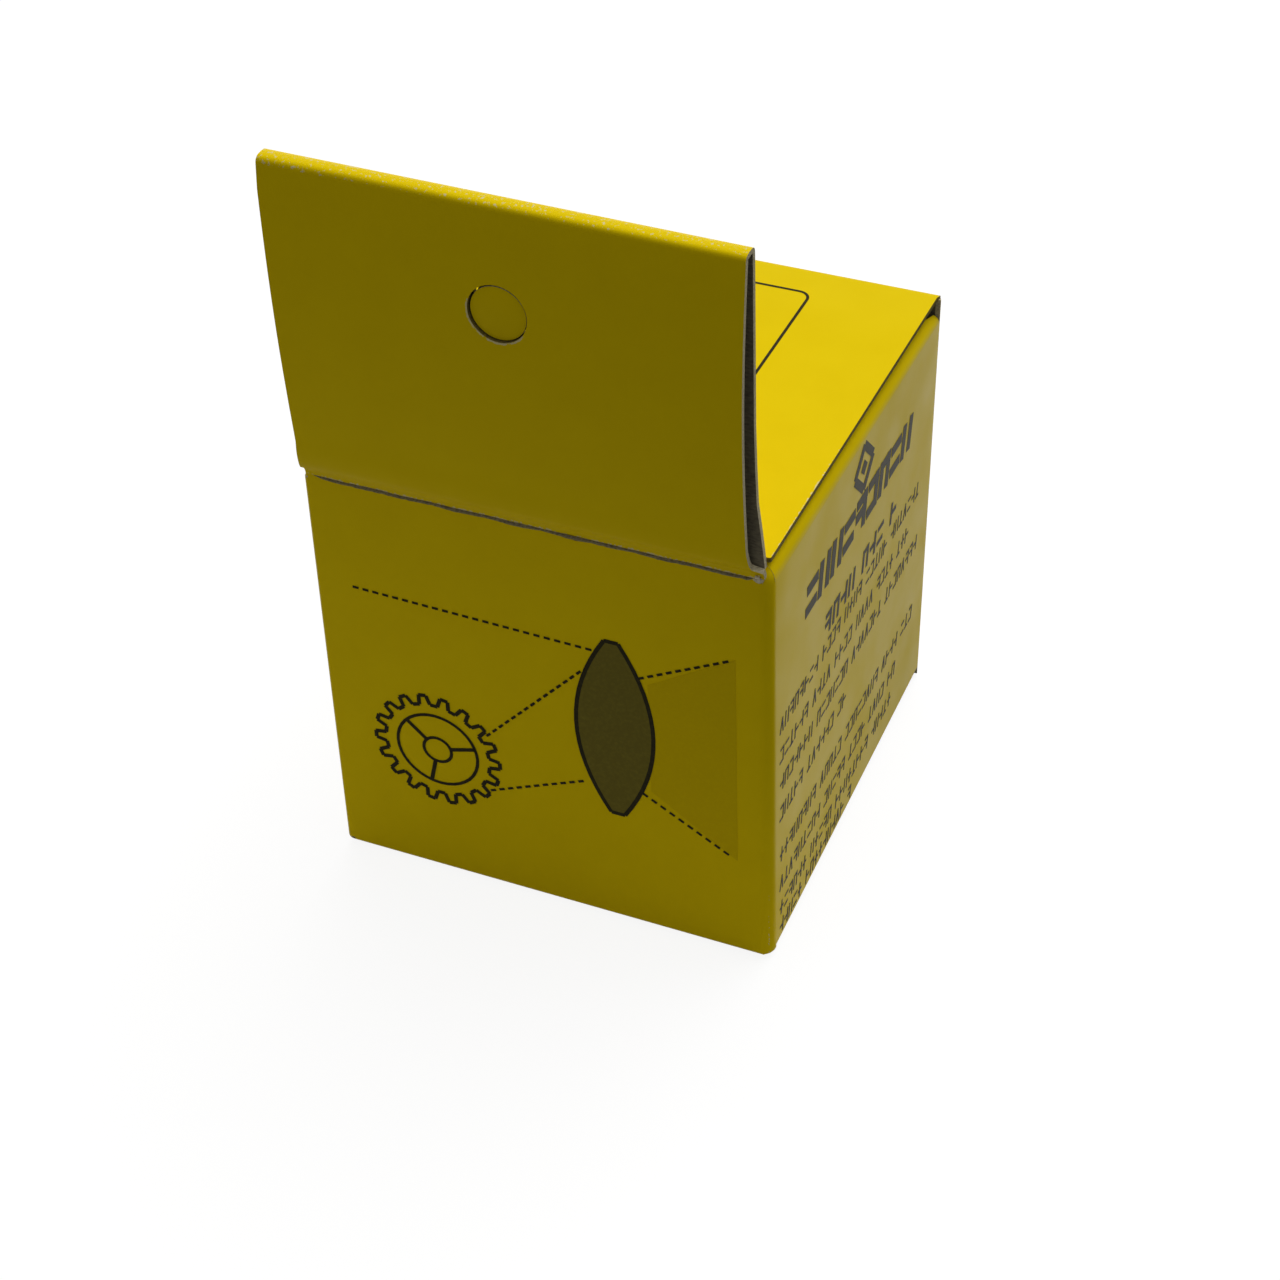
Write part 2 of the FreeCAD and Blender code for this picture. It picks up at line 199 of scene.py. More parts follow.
# Where the ink wears off: each place is where all its ranges meet. A range says what is measured,
# where the wear starts and is full in millimetres, and how strong it is there
worn_places = (
    (("corner", 22.6, 22.95, 0.76),),
    (("height", 78.35, 78.8, 0.68),),
    (("depth", -22.6, -22.9, 1.0), ("height", 46.75, 46.15, 0.90), ("height", 45.85, 46.1, 1.0)),
    (("side", 22.3, 22.65, 0.84), ("height", 47.95, 48.03, 1.0), ("height", 48.2, 48.1, 1.0)),
    (("off hole", 3.08, 2.9, 1.0), ("off hole", 2.6, 2.7, 1.0), ("lower left", -0.8, 0.8, 1.0),
     ("depth", -22.6, -22.9, 1.0)),
)
lower_left_way = (-0.5, 0, -0.87)

# Where the shine is taken away: which way the board faces or how high it is, where the shine is least
# and where it is full, and the share that is left of it. Low on the walls and at the back this is painted
# shade
dimmed_shine_places = (
    ("facing", "Z", -0.5, -0.15, 0.0),
    ("facing", "Y", 0.45, 0.15, 0.0),
    ("place", "Z", 0.0, 22.0 * MM, 0.3),
)

# Printing
ink_lift = 0.012
ink_height = 0.012
ink_step = 0.001
ink_levels = 7
mark_shapes = (
    (((0, 0), (0, 1)), ((0, 0.5), (1, 0.5))),
    (((1, 0), (1, 1)), ((0, 0.5), (1, 0.5))),
    (((0, 0), (0, 1)), ((0, 1), (1, 1)), ((1, 1), (1, 0))),
    (((0, 1), (1, 1)), ((1, 1), (1, 0)), ((1, 0), (0, 0))),
    (((0.5, 0), (0.5, 1)), ((0, 0), (1, 0))),
    (((0.5, 0), (0.5, 1)), ((0, 0.5), (1, 0.5))),
    (((0, 0), (0.5, 1)), ((0.5, 1), (1, 0))),
    (((0, 0), (0, 1)), ((1, 0), (1, 1))),
    (((0, 0.1), (1, 0.1)), ((0, 0.9), (1, 0.9))),
    (((0, 1), (1, 1)), ((1, 1), (1, 0)), ((0, 0.5), (1, 0.5))),
)
mark_slant = 0.14

# Side print: each row's height, start and end, its marks' width, height, line and gap, and how many
# stand together; then the plain rows' heights and ends
broad_row, broad_mark, broad_group = (35.4, -14.2, 16.4), (3.05, 3.9, 1.12, 0.3), (20, 20)
short_row, short_mark, short_group = (29.4, -8.9, 12.2), (1.75, 2.5, 0.55, 0.45), (2, 4)
plain_start, plain_mark, plain_group = -20.8, (1.0, 1.7, 0.26, 0.3), (4, 9)
plain_rows = ((27.0, 19.5), (23.4, 17.2), (19.9, 20.6), (16.2, -1.8), (10.9, 20.3), (7.2, 15.2),
              (3.9, 13.6), (1.4, 1.6))
diamond_centre = (1.2, 42.3)
diamond_reach = 2.55
diamond_line = 0.95
diamond_core_share = 0.35

# Front print, across and up the wall. The wheel has an inner and an outer rim, each with its
# radius and number of sides
picture_line = 0.42
sight_line = 0.27
sight_dash = 0.62
sight_gap = 0.42
wheel_centre = (-11.5, 16.0)
wheel_teeth = 18
wheel_root = 5.6
wheel_tip = 6.7
tooth_shares = ((-0.30, wheel_root), (-0.17, wheel_tip), (0.17, wheel_tip), (0.30, wheel_root))
wheel_rims = ((1.5, 20), (4.3, 36))
wheel_line = 0.8 * picture_line
spoke_angles = [0.3 + 2 * math.pi / 3 * i for i in range(3)]
lens_centre = (7.5, 24.5)
lens_half = 10.5
lens_steps = 8
lens_edge = 0.7
lens_bulge = 3.2
tint_corners = [(11.0, 31.0), (19.6, 36.5), (19.6, 12.0), (11.0, 18.0)]
sight_ends = (
    ((-6.0, 19.5), (5.1, 31.5)),
    ((10.1, 31.5), (19.6, 36.5)),
    ((-6.0, 12.5), (5.1, 17.5)),
    ((10.1, 17.5), (19.6, 12.0)),
    ((-19.0, 34.0), (6.1, 33.5)),
)

# Lid print
frame_line = 0.3
frame_radius = 1.2
frame_half = 11.0
frame_low = -5.0
frame_high = 19.3
frame_steps = 6
bar_half = 5.7
bar_low = 15.7
bar_high = 18.0

# Table and light, in metres
floor_size = 6
floor_drop = 0.0003
floor_glow = 0.89
surround_light = 0.24
bounce_centre = (-0.028, -0.065, 0)
bounce_near = 0.055
bounce_far = 0.095
lamp_size = 1.2
lamp_energy = 9.7
lamp_way = (0.10, 0.42, 0.90)
lamp_distance = 1.0


def linear(hex_colour, alpha=1.0):
    """An sRGB colour such as 'E8CB05' as the linear colour that a shader takes."""
    parts = [int(hex_colour[i:i + 2], 16) / 255 for i in (0, 2, 4)]
    return [c / 12.92 if c <= 0.04045 else ((c + 0.055) / 1.055) ** 2.4 for c in parts] + [alpha]


# Making and shaping
def begin(name):
    """Name the primitive that was just added, and put its place and size into its mesh."""
    piece = bpy.context.object
    piece.name = piece.data.name = name
    bpy.ops.object.transform_apply(location=True, rotation=True, scale=True)
    return piece


def panel(name, centre, size, turn=(0, 0, 0)):
    """A flat rectangle in its place; size is across X and Y before it is turned."""
    bpy.ops.object.select_all(action="DESELECT")
    bpy.ops.mesh.primitive_plane_add(size=1, location=centre, rotation=turn)
    bpy.context.object.scale = (size[0], size[1], 1)
    return begin(name)


def disc(name, centre, radius, depth, sides, turn=(0, 0, 0)):
    bpy.ops.object.select_all(action="DESELECT")
    bpy.ops.mesh.primitive_cylinder_add(vertices=sides, radius=radius, depth=depth,
                                        location=centre, rotation=turn)
    return begin(name)


def pick(*pieces):
    """Select these pieces alone, and make the first one active."""
    bpy.ops.object.select_all(action="DESELECT")
    bpy.context.view_layer.objects.active = pieces[0]
    for piece in pieces:
        piece.select_set(True)


def edit(piece):
    pick(piece)
    bpy.ops.object.mode_set(mode="EDIT")


def done():
    bpy.ops.object.mode_set(mode="OBJECT")


def choose(piece, kind, test):
    """Select the vertices, edges or faces for which test, given their corners, is true."""
    bpy.ops.mesh.select_mode(type=kind)
    bpy.ops.mesh.select_all(action="DESELECT")
    shape = bmesh.from_edit_mesh(piece.data)
    parts = {"VERT": shape.verts, "EDGE": shape.edges, "FACE": shape.faces}[kind]
    for part in parts:
        corners = [part.co] if kind == "VERT" else [vert.co for vert in part.verts]
        if test(corners):
            part.select_set(True)
    bmesh.update_edit_mesh(piece.data)


def middle(corners):
    return sum(corners, Vector()) / len(corners)


def cut_across(place, normal):
    """Cut the whole mesh along a plane, and keep both sides."""
    bpy.ops.mesh.select_all(action="SELECT")
    bpy.ops.mesh.bisect(plane_co=place, plane_no=normal)


def grow(step):
    """Extrude the selected edges by a step."""
    bpy.ops.mesh.extrude_region_move(TRANSFORM_OT_translate={"value": step})


def turn_edge(centre, degrees, steps, axis=ALONG_X):
    """Spin the selected edges round a centre."""
    bpy.ops.mesh.spin(steps=steps, angle=math.radians(degrees), center=centre, axis=axis)


def face_out(piece, inside):
    """Turn all faces the same way, so that the first one looks away from a point."""
    edit(piece)
    bpy.ops.mesh.select_all(action="SELECT")
    bpy.ops.mesh.normals_make_consistent(inside=False)
    done()
    first = piece.data.polygons[0]
    if (first.center - Vector(inside)).dot(first.normal) < 0:
        edit(piece)
        bpy.ops.mesh.select_all(action="SELECT")
        bpy.ops.mesh.flip_normals()
        done()


def modify(piece, kind, **settings):
    """Add a modifier, set it and apply it."""
    pick(piece)
    made = piece.modifiers.new(kind.title(), kind)
    for name, value in settings.items():
        setattr(made, name, value)
    bpy.ops.object.modifier_apply(modifier=made.name)


def thicken(piece, rim=None):
    """Give a sheet its board behind the printed face: printed coat, grey back, raw cut edge."""
    for material in (printed_board, shaded_grey_back, rim or cut_edge):
        piece.data.materials.append(material)
    modify(piece, "SOLIDIFY", thickness=board, offset=-1, use_even_offset=True,
           material_offset=1, material_offset_rim=2)


def smooth(piece, degrees=30):
    pick(piece)
    bpy.ops.object.shade_smooth_by_angle(angle=math.radians(degrees))


def out_of_true(spot):
    """Where a point of a square carton lies on the handled one."""
    to_right, to_left = max(0, spot.x / wall), max(0, -spot.x / wall)
    back = min(1, max(0, (spot.y / wall + 1) / 2))
    up = min(1, max(0, spot.z / carton_top))
    above = max(0, spot.z - tab_free_z) / (tab_fold_centre[1] + tab_fold_radius - tab_free_z)
    foot = right_front_foot * (1 - back) + right_back_foot * back
    x = to_right * (foot * (1 - up) + right_back_top * back * up) + to_left * left_foot * (1 - up)
    y = front_foot * (1 - back) * (1 - up)
    z = above * (tab_top_left + (tab_top_right - tab_top_left) * (spot.x / wall + 1) / 2)
    return spot + Vector((x, y, z))


def settle(piece):
    """Bring a finished piece a little out of true, and turn it from millimetres to metres."""
    for vert in piece.data.vertices:
        vert.co = out_of_true(vert.co)
    piece.data.transform(Matrix.Scale(MM, 4))
    piece.data.update()
    return piece


def twin(piece, name, matrix, flip):
    """A copy with its own mesh, turned or mirrored into its place."""
    mesh = piece.data.copy()
    mesh.name = name
    mesh.transform(matrix)
    if flip:
        mesh.flip_normals()
    copy = bpy.data.objects.new(name, mesh)
    bpy.context.scene.collection.objects.link(copy)
    return copy


def joined(pieces, name):
    pick(*pieces)
    bpy.ops.object.join()
    pieces[0].name = pieces[0].data.name = name
    return pieces[0]


# Materials
def add(tree, kind, settings=(), values=(), links=()):
    """Add a node with its settings, the values of its inputs, and links to other nodes' outputs. Where
    inputs go by number, 1 to 4 are a range's two limits in and out, 6 and 7 a mix's two colours."""
    made = tree.nodes.new(kind)
    for name, value in dict(settings).items():
        setattr(made, name, value)
    for name, value in dict(values).items():
        made.inputs[name].default_value = value
    for name, (source, output) in dict(links).items():
        tree.links.new(source.outputs[output], made.inputs[name])
    return made


def new_material(name):
    """An empty material, its node tree, and the output that says where a point of its piece lies."""
    material = bpy.data.materials.new(name)
    material.use_nodes = True
    tree = material.node_tree
    tree.nodes.clear()
    return material, tree, (add(tree, "ShaderNodeTexCoord"), "Object")


def finish_shader(tree, values, links):
    shader = add(tree, "ShaderNodeBsdfPrincipled", values=values, links=links)
    add(tree, "ShaderNodeOutputMaterial", links={"Surface": (shader, "BSDF")})


def grazing_gloss(tree, least, most):
    """Satin ink shines only at a shallow angle: little gloss seen square on, more edge on. Where the board
    faces down or back, and low on the walls, the shine is taken away: at the back and low on the walls this
    is painted shade."""
    edge_on = add(tree, "ShaderNodeLayerWeight", values={"Blend": 0.5})
    shine = add(tree, "ShaderNodeMapRange", values={1: 0.46, 2: 0.72, 3: 0.0, 4: most - least},
                links={0: (edge_on, "Facing")})
    spot = add(tree, "ShaderNodeTexCoord")
    measured = {
        "facing": add(tree, "ShaderNodeSeparateXYZ", links={0: (spot, "Normal")}),
        "place": add(tree, "ShaderNodeSeparateXYZ", links={0: (spot, "Object")}),
    }
    for source, way, low, high, left in dimmed_shine_places:
        kept = add(tree, "ShaderNodeMapRange", values={1: low, 2: high, 3: left, 4: 1.0},
                   links={0: (measured[source], way)})
        shine = add(tree, "ShaderNodeMath", {"operation": "MULTIPLY"}, links={0: (shine, 0), 1: (kept, 0)})
    return add(tree, "ShaderNodeMath", {"operation": "ADD"}, {1: least}, {0: (shine, 0)})


def ink_wear(tree, place):
    """How far the ink has worn off: along the carton's corners, the hang tab's top fold and its lower
    edge over the crack, the lid's side edges, and the lip that the punch raised at the hang hole."""
    parts = add(tree, "ShaderNodeSeparateXYZ", links={0: place})
    across = add(tree, "ShaderNodeMath", {"operation": "ABSOLUTE"}, links={0: (parts, "X")})
    deep = add(tree, "ShaderNodeMath", {"operation": "ABSOLUTE"}, links={0: (parts, "Y")})
    corner = add(tree, "ShaderNodeMath", {"operation": "MINIMUM"}, links={0: (across, 0), 1: (deep, 0)})
    on_wall = add(tree, "ShaderNodeCombineXYZ", links={"X": (parts, "X"), "Z": (parts, "Z")})
    hole = out_of_true(Vector((hole_x, -wall, hole_z)))
    off_hole = add(tree, "ShaderNodeVectorMath", {"operation": "SUBTRACT"},
                   {1: (hole.x * MM, 0, hole.z * MM)}, {0: (on_wall, 0)})
    far_off = add(tree, "ShaderNodeVectorMath", {"operation": "LENGTH"}, links={0: (off_hole, 0)})
    lower_left = add(tree, "ShaderNodeVectorMath", {"operation": "DOT_PRODUCT"}, {1: lower_left_way},
                     {0: (off_hole, 0)})
    measured = {"corner": (corner, 0), "side": (across, 0), "depth": (parts, "Y"), "height": (parts, "Z"),
                "off hole": (far_off, "Value"), "lower left": (lower_left, "Value")}
    worn = None
    for ranges in worn_places:
        spot = None
        for source, start, full, most in ranges:
            part = add(tree, "ShaderNodeMapRange", values={1: start * MM, 2: full * MM, 3: 0.0, 4: most},
                       links={0: measured[source]})
            spot = part if spot is None else add(tree, "ShaderNodeMath", {"operation": "MULTIPLY"},
                                                 links={0: (spot, 0), 1: (part, 0)})
        worn = spot if worn is None else add(tree, "ShaderNodeMath", {"operation": "MAXIMUM"},
                                             links={0: (worn, 0), 1: (spot, 0)})
    return worn


def coated_board(name, pale, deep, worn):
    """Clay-coated carton board with printing ink over it: smooth, a little mottled, satin. Where
    it is folded or knocked, the ink breaks off in specks and the pale board shows."""
    mottle_mm, speck_mm, grain_mm = 5.0, 0.3, 0.3
    material, tree, place = new_material(name)
    mottle = add(tree, "ShaderNodeTexNoise", values={"Scale": 1 / (mottle_mm * MM), "Detail": 4.0},
                 links={"Vector": place})
    colour = add(tree, "ShaderNodeMix", {"data_type": "RGBA"},
                 {6: linear(pale), 7: linear(deep)}, {0: (mottle, "Fac")})
    grains = add(tree, "ShaderNodeTexNoise", values={"Scale": 1 / (speck_mm * MM), "Detail": 4.0},
                 links={"Vector": place})
    both = add(tree, "ShaderNodeMath", {"operation": "MULTIPLY"},
               links={0: (ink_wear(tree, place), 0), 1: (grains, "Fac")})
    specks = add(tree, "ShaderNodeMapRange", values={1: 0.40, 2: 0.46, 3: 0.0, 4: 0.85},
                 links={0: (both, 0)})
    shown = add(tree, "ShaderNodeMix", {"data_type": "RGBA"}, {7: linear(worn)},
                {0: (specks, 0), 6: (colour, 2)})
    # Paper grain under the ink, finer on the real board than it is drawn here
    grain = add(tree, "ShaderNodeTexNoise", values={"Scale": 1 / (grain_mm * MM), "Detail": 3.0},
                links={"Vector": place})
    bump = add(tree, "ShaderNodeBump", values={"Strength": 0.12, "Distance": 0.02 * MM},
               links={"Height": (grain, "Fac")})
    rough = add(tree, "ShaderNodeMapRange", values={1: 0.3, 2: 0.7, 3: 0.38, 4: 0.48},
                links={0: (mottle, "Fac")})
    finish_shader(tree, {"Specular Tint": linear(ink_shine)},
                  {"Base Color": (shown, 2), "Roughness": (rough, 0), "Normal": (bump, 0),
                   "Specular IOR Level": (grazing_gloss(tree, 0.02, 0.17), 0)})
    return material


def fibre_board(name, light, dark, fibre_mm, strength):
    """Uncoated board: pressed waste paper, matt, with fibres and flecks of grey and brown."""
    material, tree, place = new_material(name)
    stretched = add(tree, "ShaderNodeMapping", values={"Scale": (1.0, 1.0, 3.0)}, links={0: place})
    fibres = add(tree, "ShaderNodeTexNoise", values={"Scale": 1 / (fibre_mm * MM), "Detail": 6.0},
                 links={"Vector": (stretched, 0)})
    spread = add(tree, "ShaderNodeMapRange", values={1: 0.32, 2: 0.68}, links={0: (fibres, "Fac")})
    colour = add(tree, "ShaderNodeMix", {"data_type": "RGBA"}, {6: linear(dark), 7: linear(light)},
                 {0: (spread, 0)})
    bump = add(tree, "ShaderNodeBump", values={"Strength": strength, "Distance": 0.05 * MM},
               links={"Height": (fibres, "Fac")})
    finish_shader(tree, {"Roughness": 0.85, "Specular IOR Level": 0.2},
                  {"Base Color": (colour, 2), "Normal": (bump, 0)})
    return material


def printing_ink(name, solid, thin):
    """A solid of offset ink on coated board: even, with small pinholes, as satin as the board."""
    pinhole_mm = 0.35
    material, tree, place = new_material(name)
    grains = add(tree, "ShaderNodeTexNoise", values={"Scale": 1 / (pinhole_mm * MM), "Detail": 4.0},
                 links={"Vector": place})
    spread = add(tree, "ShaderNodeMapRange", values={1: 0.45, 2: 0.75}, links={0: (grains, "Fac")})
    colour = add(tree, "ShaderNodeMix", {"data_type": "RGBA"}, {6: linear(solid), 7: linear(thin)},
                 {0: (spread, 0)})
    finish_shader(tree, {"Roughness": 0.42, "Specular Tint": linear(ink_shine)},
                  {"Base Color": (colour, 2), "Specular IOR Level": (grazing_gloss(tree, 0.02, 0.05), 0)})
    return material


def moulded_black():
    """Injection-moulded ABS, black, from a spark-eroded mould: an even fine grain and soft shine."""
    grain_mm = 0.35
    material, tree, place = new_material("moulded_black_abs")
    grain = add(tree, "ShaderNodeTexNoise", values={"Scale": 1 / (grain_mm * MM), "Detail": 2.0},
                links={"Vector": place})
    colour = add(tree, "ShaderNodeMix", {"data_type": "RGBA"}, {6: linear("1B1B1C"), 7: linear("262627")},
                 {0: (grain, "Fac")})
    bump = add(tree, "ShaderNodeBump", values={"Strength": 0.35, "Distance": 0.05 * MM},
               links={"Height": (grain, "Fac")})
    rough = add(tree, "ShaderNodeMapRange", values={1: 0.3, 2: 0.7, 3: 0.4, 4: 0.55},
                links={0: (grain, "Fac")})
    finish_shader(tree, {"IOR": 1.53},
                  {"Base Color": (colour, 2), "Roughness": (rough, 0), "Normal": (bump, 0)})
    return material


def spacer_black():
    """Turned acetal, black and waxy, with faint tool rings."""
    ring_mm = 0.5
    material, tree, place = new_material("turned_black_acetal")
    rings = add(tree, "ShaderNodeTexWave", {"bands_direction": "Z"},
                {"Scale": 1 / (ring_mm * MM), "Distortion": 0.4}, {"Vector": place})
    colour = add(tree, "ShaderNodeMix", {"data_type": "RGBA"}, {6: linear("151516"), 7: linear("202021")},
                 {0: (rings, "Fac")})
    finish_shader(tree, {"Roughness": 0.6, "IOR": 1.48}, {"Base Color": (colour, 2)})
    return material


def anodised_black():
    """Black anodised aluminium, turned on a lathe: fine rings along the axis, a dark metal sheen,
    and brighter wear where fingers grip the flutes."""
    ring_mm, grip_mm = 0.6, 2.5
    material, tree, place = new_material("black_anodised_aluminium")
    rings = add(tree, "ShaderNodeTexWave", {"bands_direction": "Z"},
                {"Scale": 1 / (ring_mm * MM), "Distortion": 0.2}, {"Vector": place})
    wear = add(tree, "ShaderNodeTexNoise", values={"Scale": 1 / (grip_mm * MM), "Detail": 5.0},
               links={"Vector": place})
    spread = add(tree, "ShaderNodeMapRange", values={1: 0.5, 2: 0.75}, links={0: (wear, "Fac")})
    colour = add(tree, "ShaderNodeMix", {"data_type": "RGBA"}, {6: linear("2A2A2D"), 7: linear("4A4A4E")},
                 {0: (spread, 0)})
    bump = add(tree, "ShaderNodeBump", values={"Strength": 0.15, "Distance": 0.02 * MM},
               links={"Height": (rings, "Fac")})
    rough = add(tree, "ShaderNodeMapRange", values={1: 0.3, 2: 0.7, 3: 0.32, 4: 0.46},
                links={0: (wear, "Fac")})
    finish_shader(tree, {"Metallic": 0.9},
                  {"Base Color": (colour, 2), "Roughness": (rough, 0), "Normal": (bump, 0)})
    return material


def lens_glass():
    """Ground and polished crown glass: clear, with the faint green of its edge."""
    haze_mm = 1.5
    material, tree, place = new_material("polished_crown_glass")
    haze = add(tree, "ShaderNodeTexNoise", values={"Scale": 1 / (haze_mm * MM), "Detail": 2.0},
               links={"Vector": place})
    rough = add(tree, "ShaderNodeMapRange", values={1: 0.3, 2: 0.7, 3: 0.0, 4: 0.03},
                links={0: (haze, "Fac")})
    finish_shader(tree, {"Base Color": linear("E6F2EC"), "IOR": 1.52, "Transmission Weight": 1.0},
                  {"Roughness": (rough, 0)})
    return material


ink_shine = "F2DC40"
printed_board = coated_board("coated_board_yellow", "EACD04", "E3C505", "DDD2A4")
tint_board = printing_ink("offset_ink_tint", "D6B906", "DABE06")
# The uncoated back's grey is set darker than the board's own grey: partly the board's colour, partly
# painted shade, as seen between the hang tab's plies
shaded_grey_back = fibre_board("uncoated_board_back_shaded", "857D66", "655E4D", 0.6, 0.4)
cut_edge = fibre_board("raw_cut_board", "D3CAA6", "A2977A", 0.25, 0.8)
# Cut board set darker than the raw cut edge: painted shade, for the gap beside the lid's edges and the
# inside of the hang hole's walls
shaded_cut_edge = fibre_board("raw_cut_board_painted_shade", "857739", "5E5426", 0.25, 0.8)
torn_fibre = fibre_board("torn_board_fibre", "E6DEC2", "BDB292", 0.3, 0.8)
ink_black = printing_ink("offset_ink_black", "2E2B1E", "3A3624")
ink_screen = printing_ink("offset_ink_dark_screen", "706628", "7A702C")


# Folding carton
def rough_edge(piece, z, row, share, close):
    """Break one straight edge of the crack into a torn line: cut it finely, then move each corner by
    noise. At both ends the edge closes on its bridge."""
    (start_x, low_x), (high_x, _) = bridge_ends
    edit(piece)
    choose(piece, "EDGE", lambda c: all(abs(v.z - z) < near and v.y < crack_front_y for v in c)
           and abs(c[0].x - c[1].x) > crack_edge_least)
    bpy.ops.mesh.subdivide(number_cuts=crack_waves if row else crack_waves // len(wall_cuts))
    shape = bmesh.from_edit_mesh(piece.data)
    for vert in shape.verts:
        spot = vert.co
        if abs(spot.z - z) < near and spot.y < crack_front_y and spot.x > start_x:
            slow, quick = (noise.noise(Vector((spot.x * pitch, row, level)))
                           for pitch, level in zip(crack_pitches, (0, 7)))
            inside = min((spot.x - low_x) / crack_tapers[0], (high_x - spot.x) / crack_tapers[1])
            end = 1 - min(1, max(0, inside))
            spot.z += (1 - end) * share * (crack_slow * slow + crack_quick * quick) + close * end * end
    bmesh.update_edit_mesh(piece.data)
    done()


def press_corner(sleeve, way, z, pivot, rise, turns):
    """Close an end of a front corner: its edge is drawn in towards a pivot as it rises or falls."""
    inner = wall - corner_radius
    edit(sleeve)
    choose(sleeve, "EDGE", lambda c: all(abs(v.z - z) < near and v.x * way > inner - near
                                         and v.y < near - inner for v in c))
    reach, risen = 1.0, 0.0
    for degrees in turns:
        angle = math.radians(degrees)
        grow((0, 0, rise * math.sin(angle) - risen))
        share = math.cos(angle) / reach
        bpy.ops.transform.resize(value=(share, share, 1), center_override=(pivot[0], pivot[1], z))
        reach, risen = math.cos(angle), rise * math.sin(angle)
    done()


def carton_sleeve():
    """The four walls: one tube of board, rounded at its corners and cut to each wall's height."""
    side_top, side_foot = dust_top - dust_fold_radius, carton_top - dust_top + base_dust_fold_radius
    tops = {"front": crack_low_z, "side": side_top, "back": carton_top + lid_rise - lid_fold_radius,
            "left corner": crack_low_z - crack_left_drop}
    feet = {"front": base_fold_radius, "side": side_foot, "back": back_foot}
    low, high = feet["back"], tops["back"]
    inner = wall - corner_radius
    bpy.ops.object.select_all(action="DESELECT")
    bpy.ops.mesh.primitive_cube_add(size=1, location=(0, (back_wall - wall) / 2, (low + high) / 2))
    bpy.context.object.scale = (2 * wall, back_wall + wall, high - low)
    sleeve = begin("carton_sleeve")
    edit(sleeve)
    choose(sleeve, "FACE", lambda c: max(v.z for v in c) - min(v.z for v in c) < near)
    bpy.ops.mesh.delete(type="FACE")
    for radius, soft in ((corner_radius, True), (sharp_corner, False)):
        choose(sleeve, "EDGE", lambda c: abs(c[0].z - c[1].z) > near and abs(c[0].x) > wall - near
               and abs(c[0].y) > wall - near and (c[0].x > 0 > c[0].y) == soft)
        bpy.ops.mesh.bevel(offset=radius, offset_type="OFFSET", segments=corner_steps, affect="EDGES")
    for z in (tops["front"], tops["side"], tops["left corner"], feet["front"], feet["side"]):
        cut_across((0, 0, z), ALONG_Z)
    for place in wall_cuts:
        cut_across((place, 0, 0), ALONG_X)
        cut_across((0, place, 0), ALONG_Y)
        cut_across((0, 0, turn_middle_z + place), ALONG_Z)

    def beyond(corners):
        spot = middle(corners)
        closest = "front" if spot.y < 0 else "back"
        at_corner = abs(spot.x) > inner and (spot.y < -inner or spot.y > wall - back_corner_band)
        upper = lower = closest if at_corner or abs(spot.x) < wall - near else "side"
        if closest == "front" and abs(spot.x) > wall - (corner_radius if spot.x > 0 else sharp_corner):
            upper = "side" if spot.x > 0 or not at_corner else "left corner"
        return spot.z > tops[upper] or spot.z < feet[lower]

    choose(sleeve, "FACE", beyond)
    bpy.ops.mesh.delete(type="FACE")
    done()
    press_corner(sleeve, 1, side_top, (wall - dust_fold_radius, -inner), dust_fold_radius, top_press_turns)
    for way in (1, -1):
        press_corner(sleeve, way, base_fold_radius, (inner * way, base_fold_radius - wall),
                     -base_fold_radius, base_press_turns)
    rough_edge(sleeve, tops["front"], crack_rows[0], 1, crack_close)
    face_out(sleeve, (0, 0, turn_middle_z))
    thicken(sleeve)
    smooth(sleeve)
    settle(sleeve)
    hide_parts("front_panel", "right_panel", "back_panel", "left_panel")
    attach(sleeve, "carton")


def lid_sheet(back_y, radius, fold_half, rim):
    """The closing panel with its rounded fold down to the back wall, and its two front wings."""
    fold_y = back_y - radius
    lid = panel("lid_sheet", (0, (tuck_fold_y + fold_y) / 2, carton_top),
                (2 * lid_half, fold_y - tuck_fold_y))
    edit(lid)
    cut_across((tuck_half, 0, 0), ALONG_X)
    cut_across((-tuck_half, 0, 0), ALONG_X)
    cut_across((0, fold_y - radius, 0), ALONG_Y)
    choose(lid, "EDGE", lambda c: all(v.y < tuck_fold_y + near and abs(v.x) > tuck_half - near for v in c))
    grow((0, lid_wing_y - tuck_fold_y, 0))
    choose(lid, "VERT", lambda c: c[0].y < lid_wing_y + near and abs(c[0].x) > lid_half - near)
    bpy.ops.mesh.bevel(offset=lid_corner, segments=4, affect="VERTICES")
    choose(lid, "VERT", lambda c: c[0].y > fold_y - near and abs(c[0].x) > lid_half - near)
    bpy.ops.transform.resize(value=(fold_half / lid_half, 1, 1), center_override=(0, 0, 0))
    choose(lid, "EDGE", lambda c: all(v.y > fold_y - near for v in c))
    turn_edge((0, fold_y, carton_top - radius), 90, fold_steps)
    done()
    face_out(lid, (0, 0, turn_middle_z))
    thicken(lid, rim=rim)
    smooth(lid)
    return lid


def tuck_sheet():
    """The tuck flap with its rounded fold: it leans inwards behind the front panel."""
    tuck = panel("lid_tuck_sheet", (0, tuck_fold_y - tuck_strip / 2, carton_top),
                 (2 * tuck_half, tuck_strip))
    edit(tuck)
    choose(tuck, "EDGE", lambda c: all(v.y < tuck_fold_y - tuck_strip / 2 for v in c))
    turn_edge((0, tuck_fold_y - tuck_strip, carton_top - tuck_fold_radius), -90 - math.degrees(tuck_lean),
              fold_steps + 2)
    grow((0, tuck_run * math.sin(tuck_lean), -tuck_run * math.cos(tuck_lean)))
    choose(tuck, "VERT", lambda c: c[0].z < carton_top - tuck_run + 1)
    bpy.ops.mesh.bevel(offset=tuck_corner, segments=8, affect="VERTICES")
    done()
    face_out(tuck, (0, 0, turn_middle_z))
    thicken(tuck)
    smooth(tuck)
    return tuck


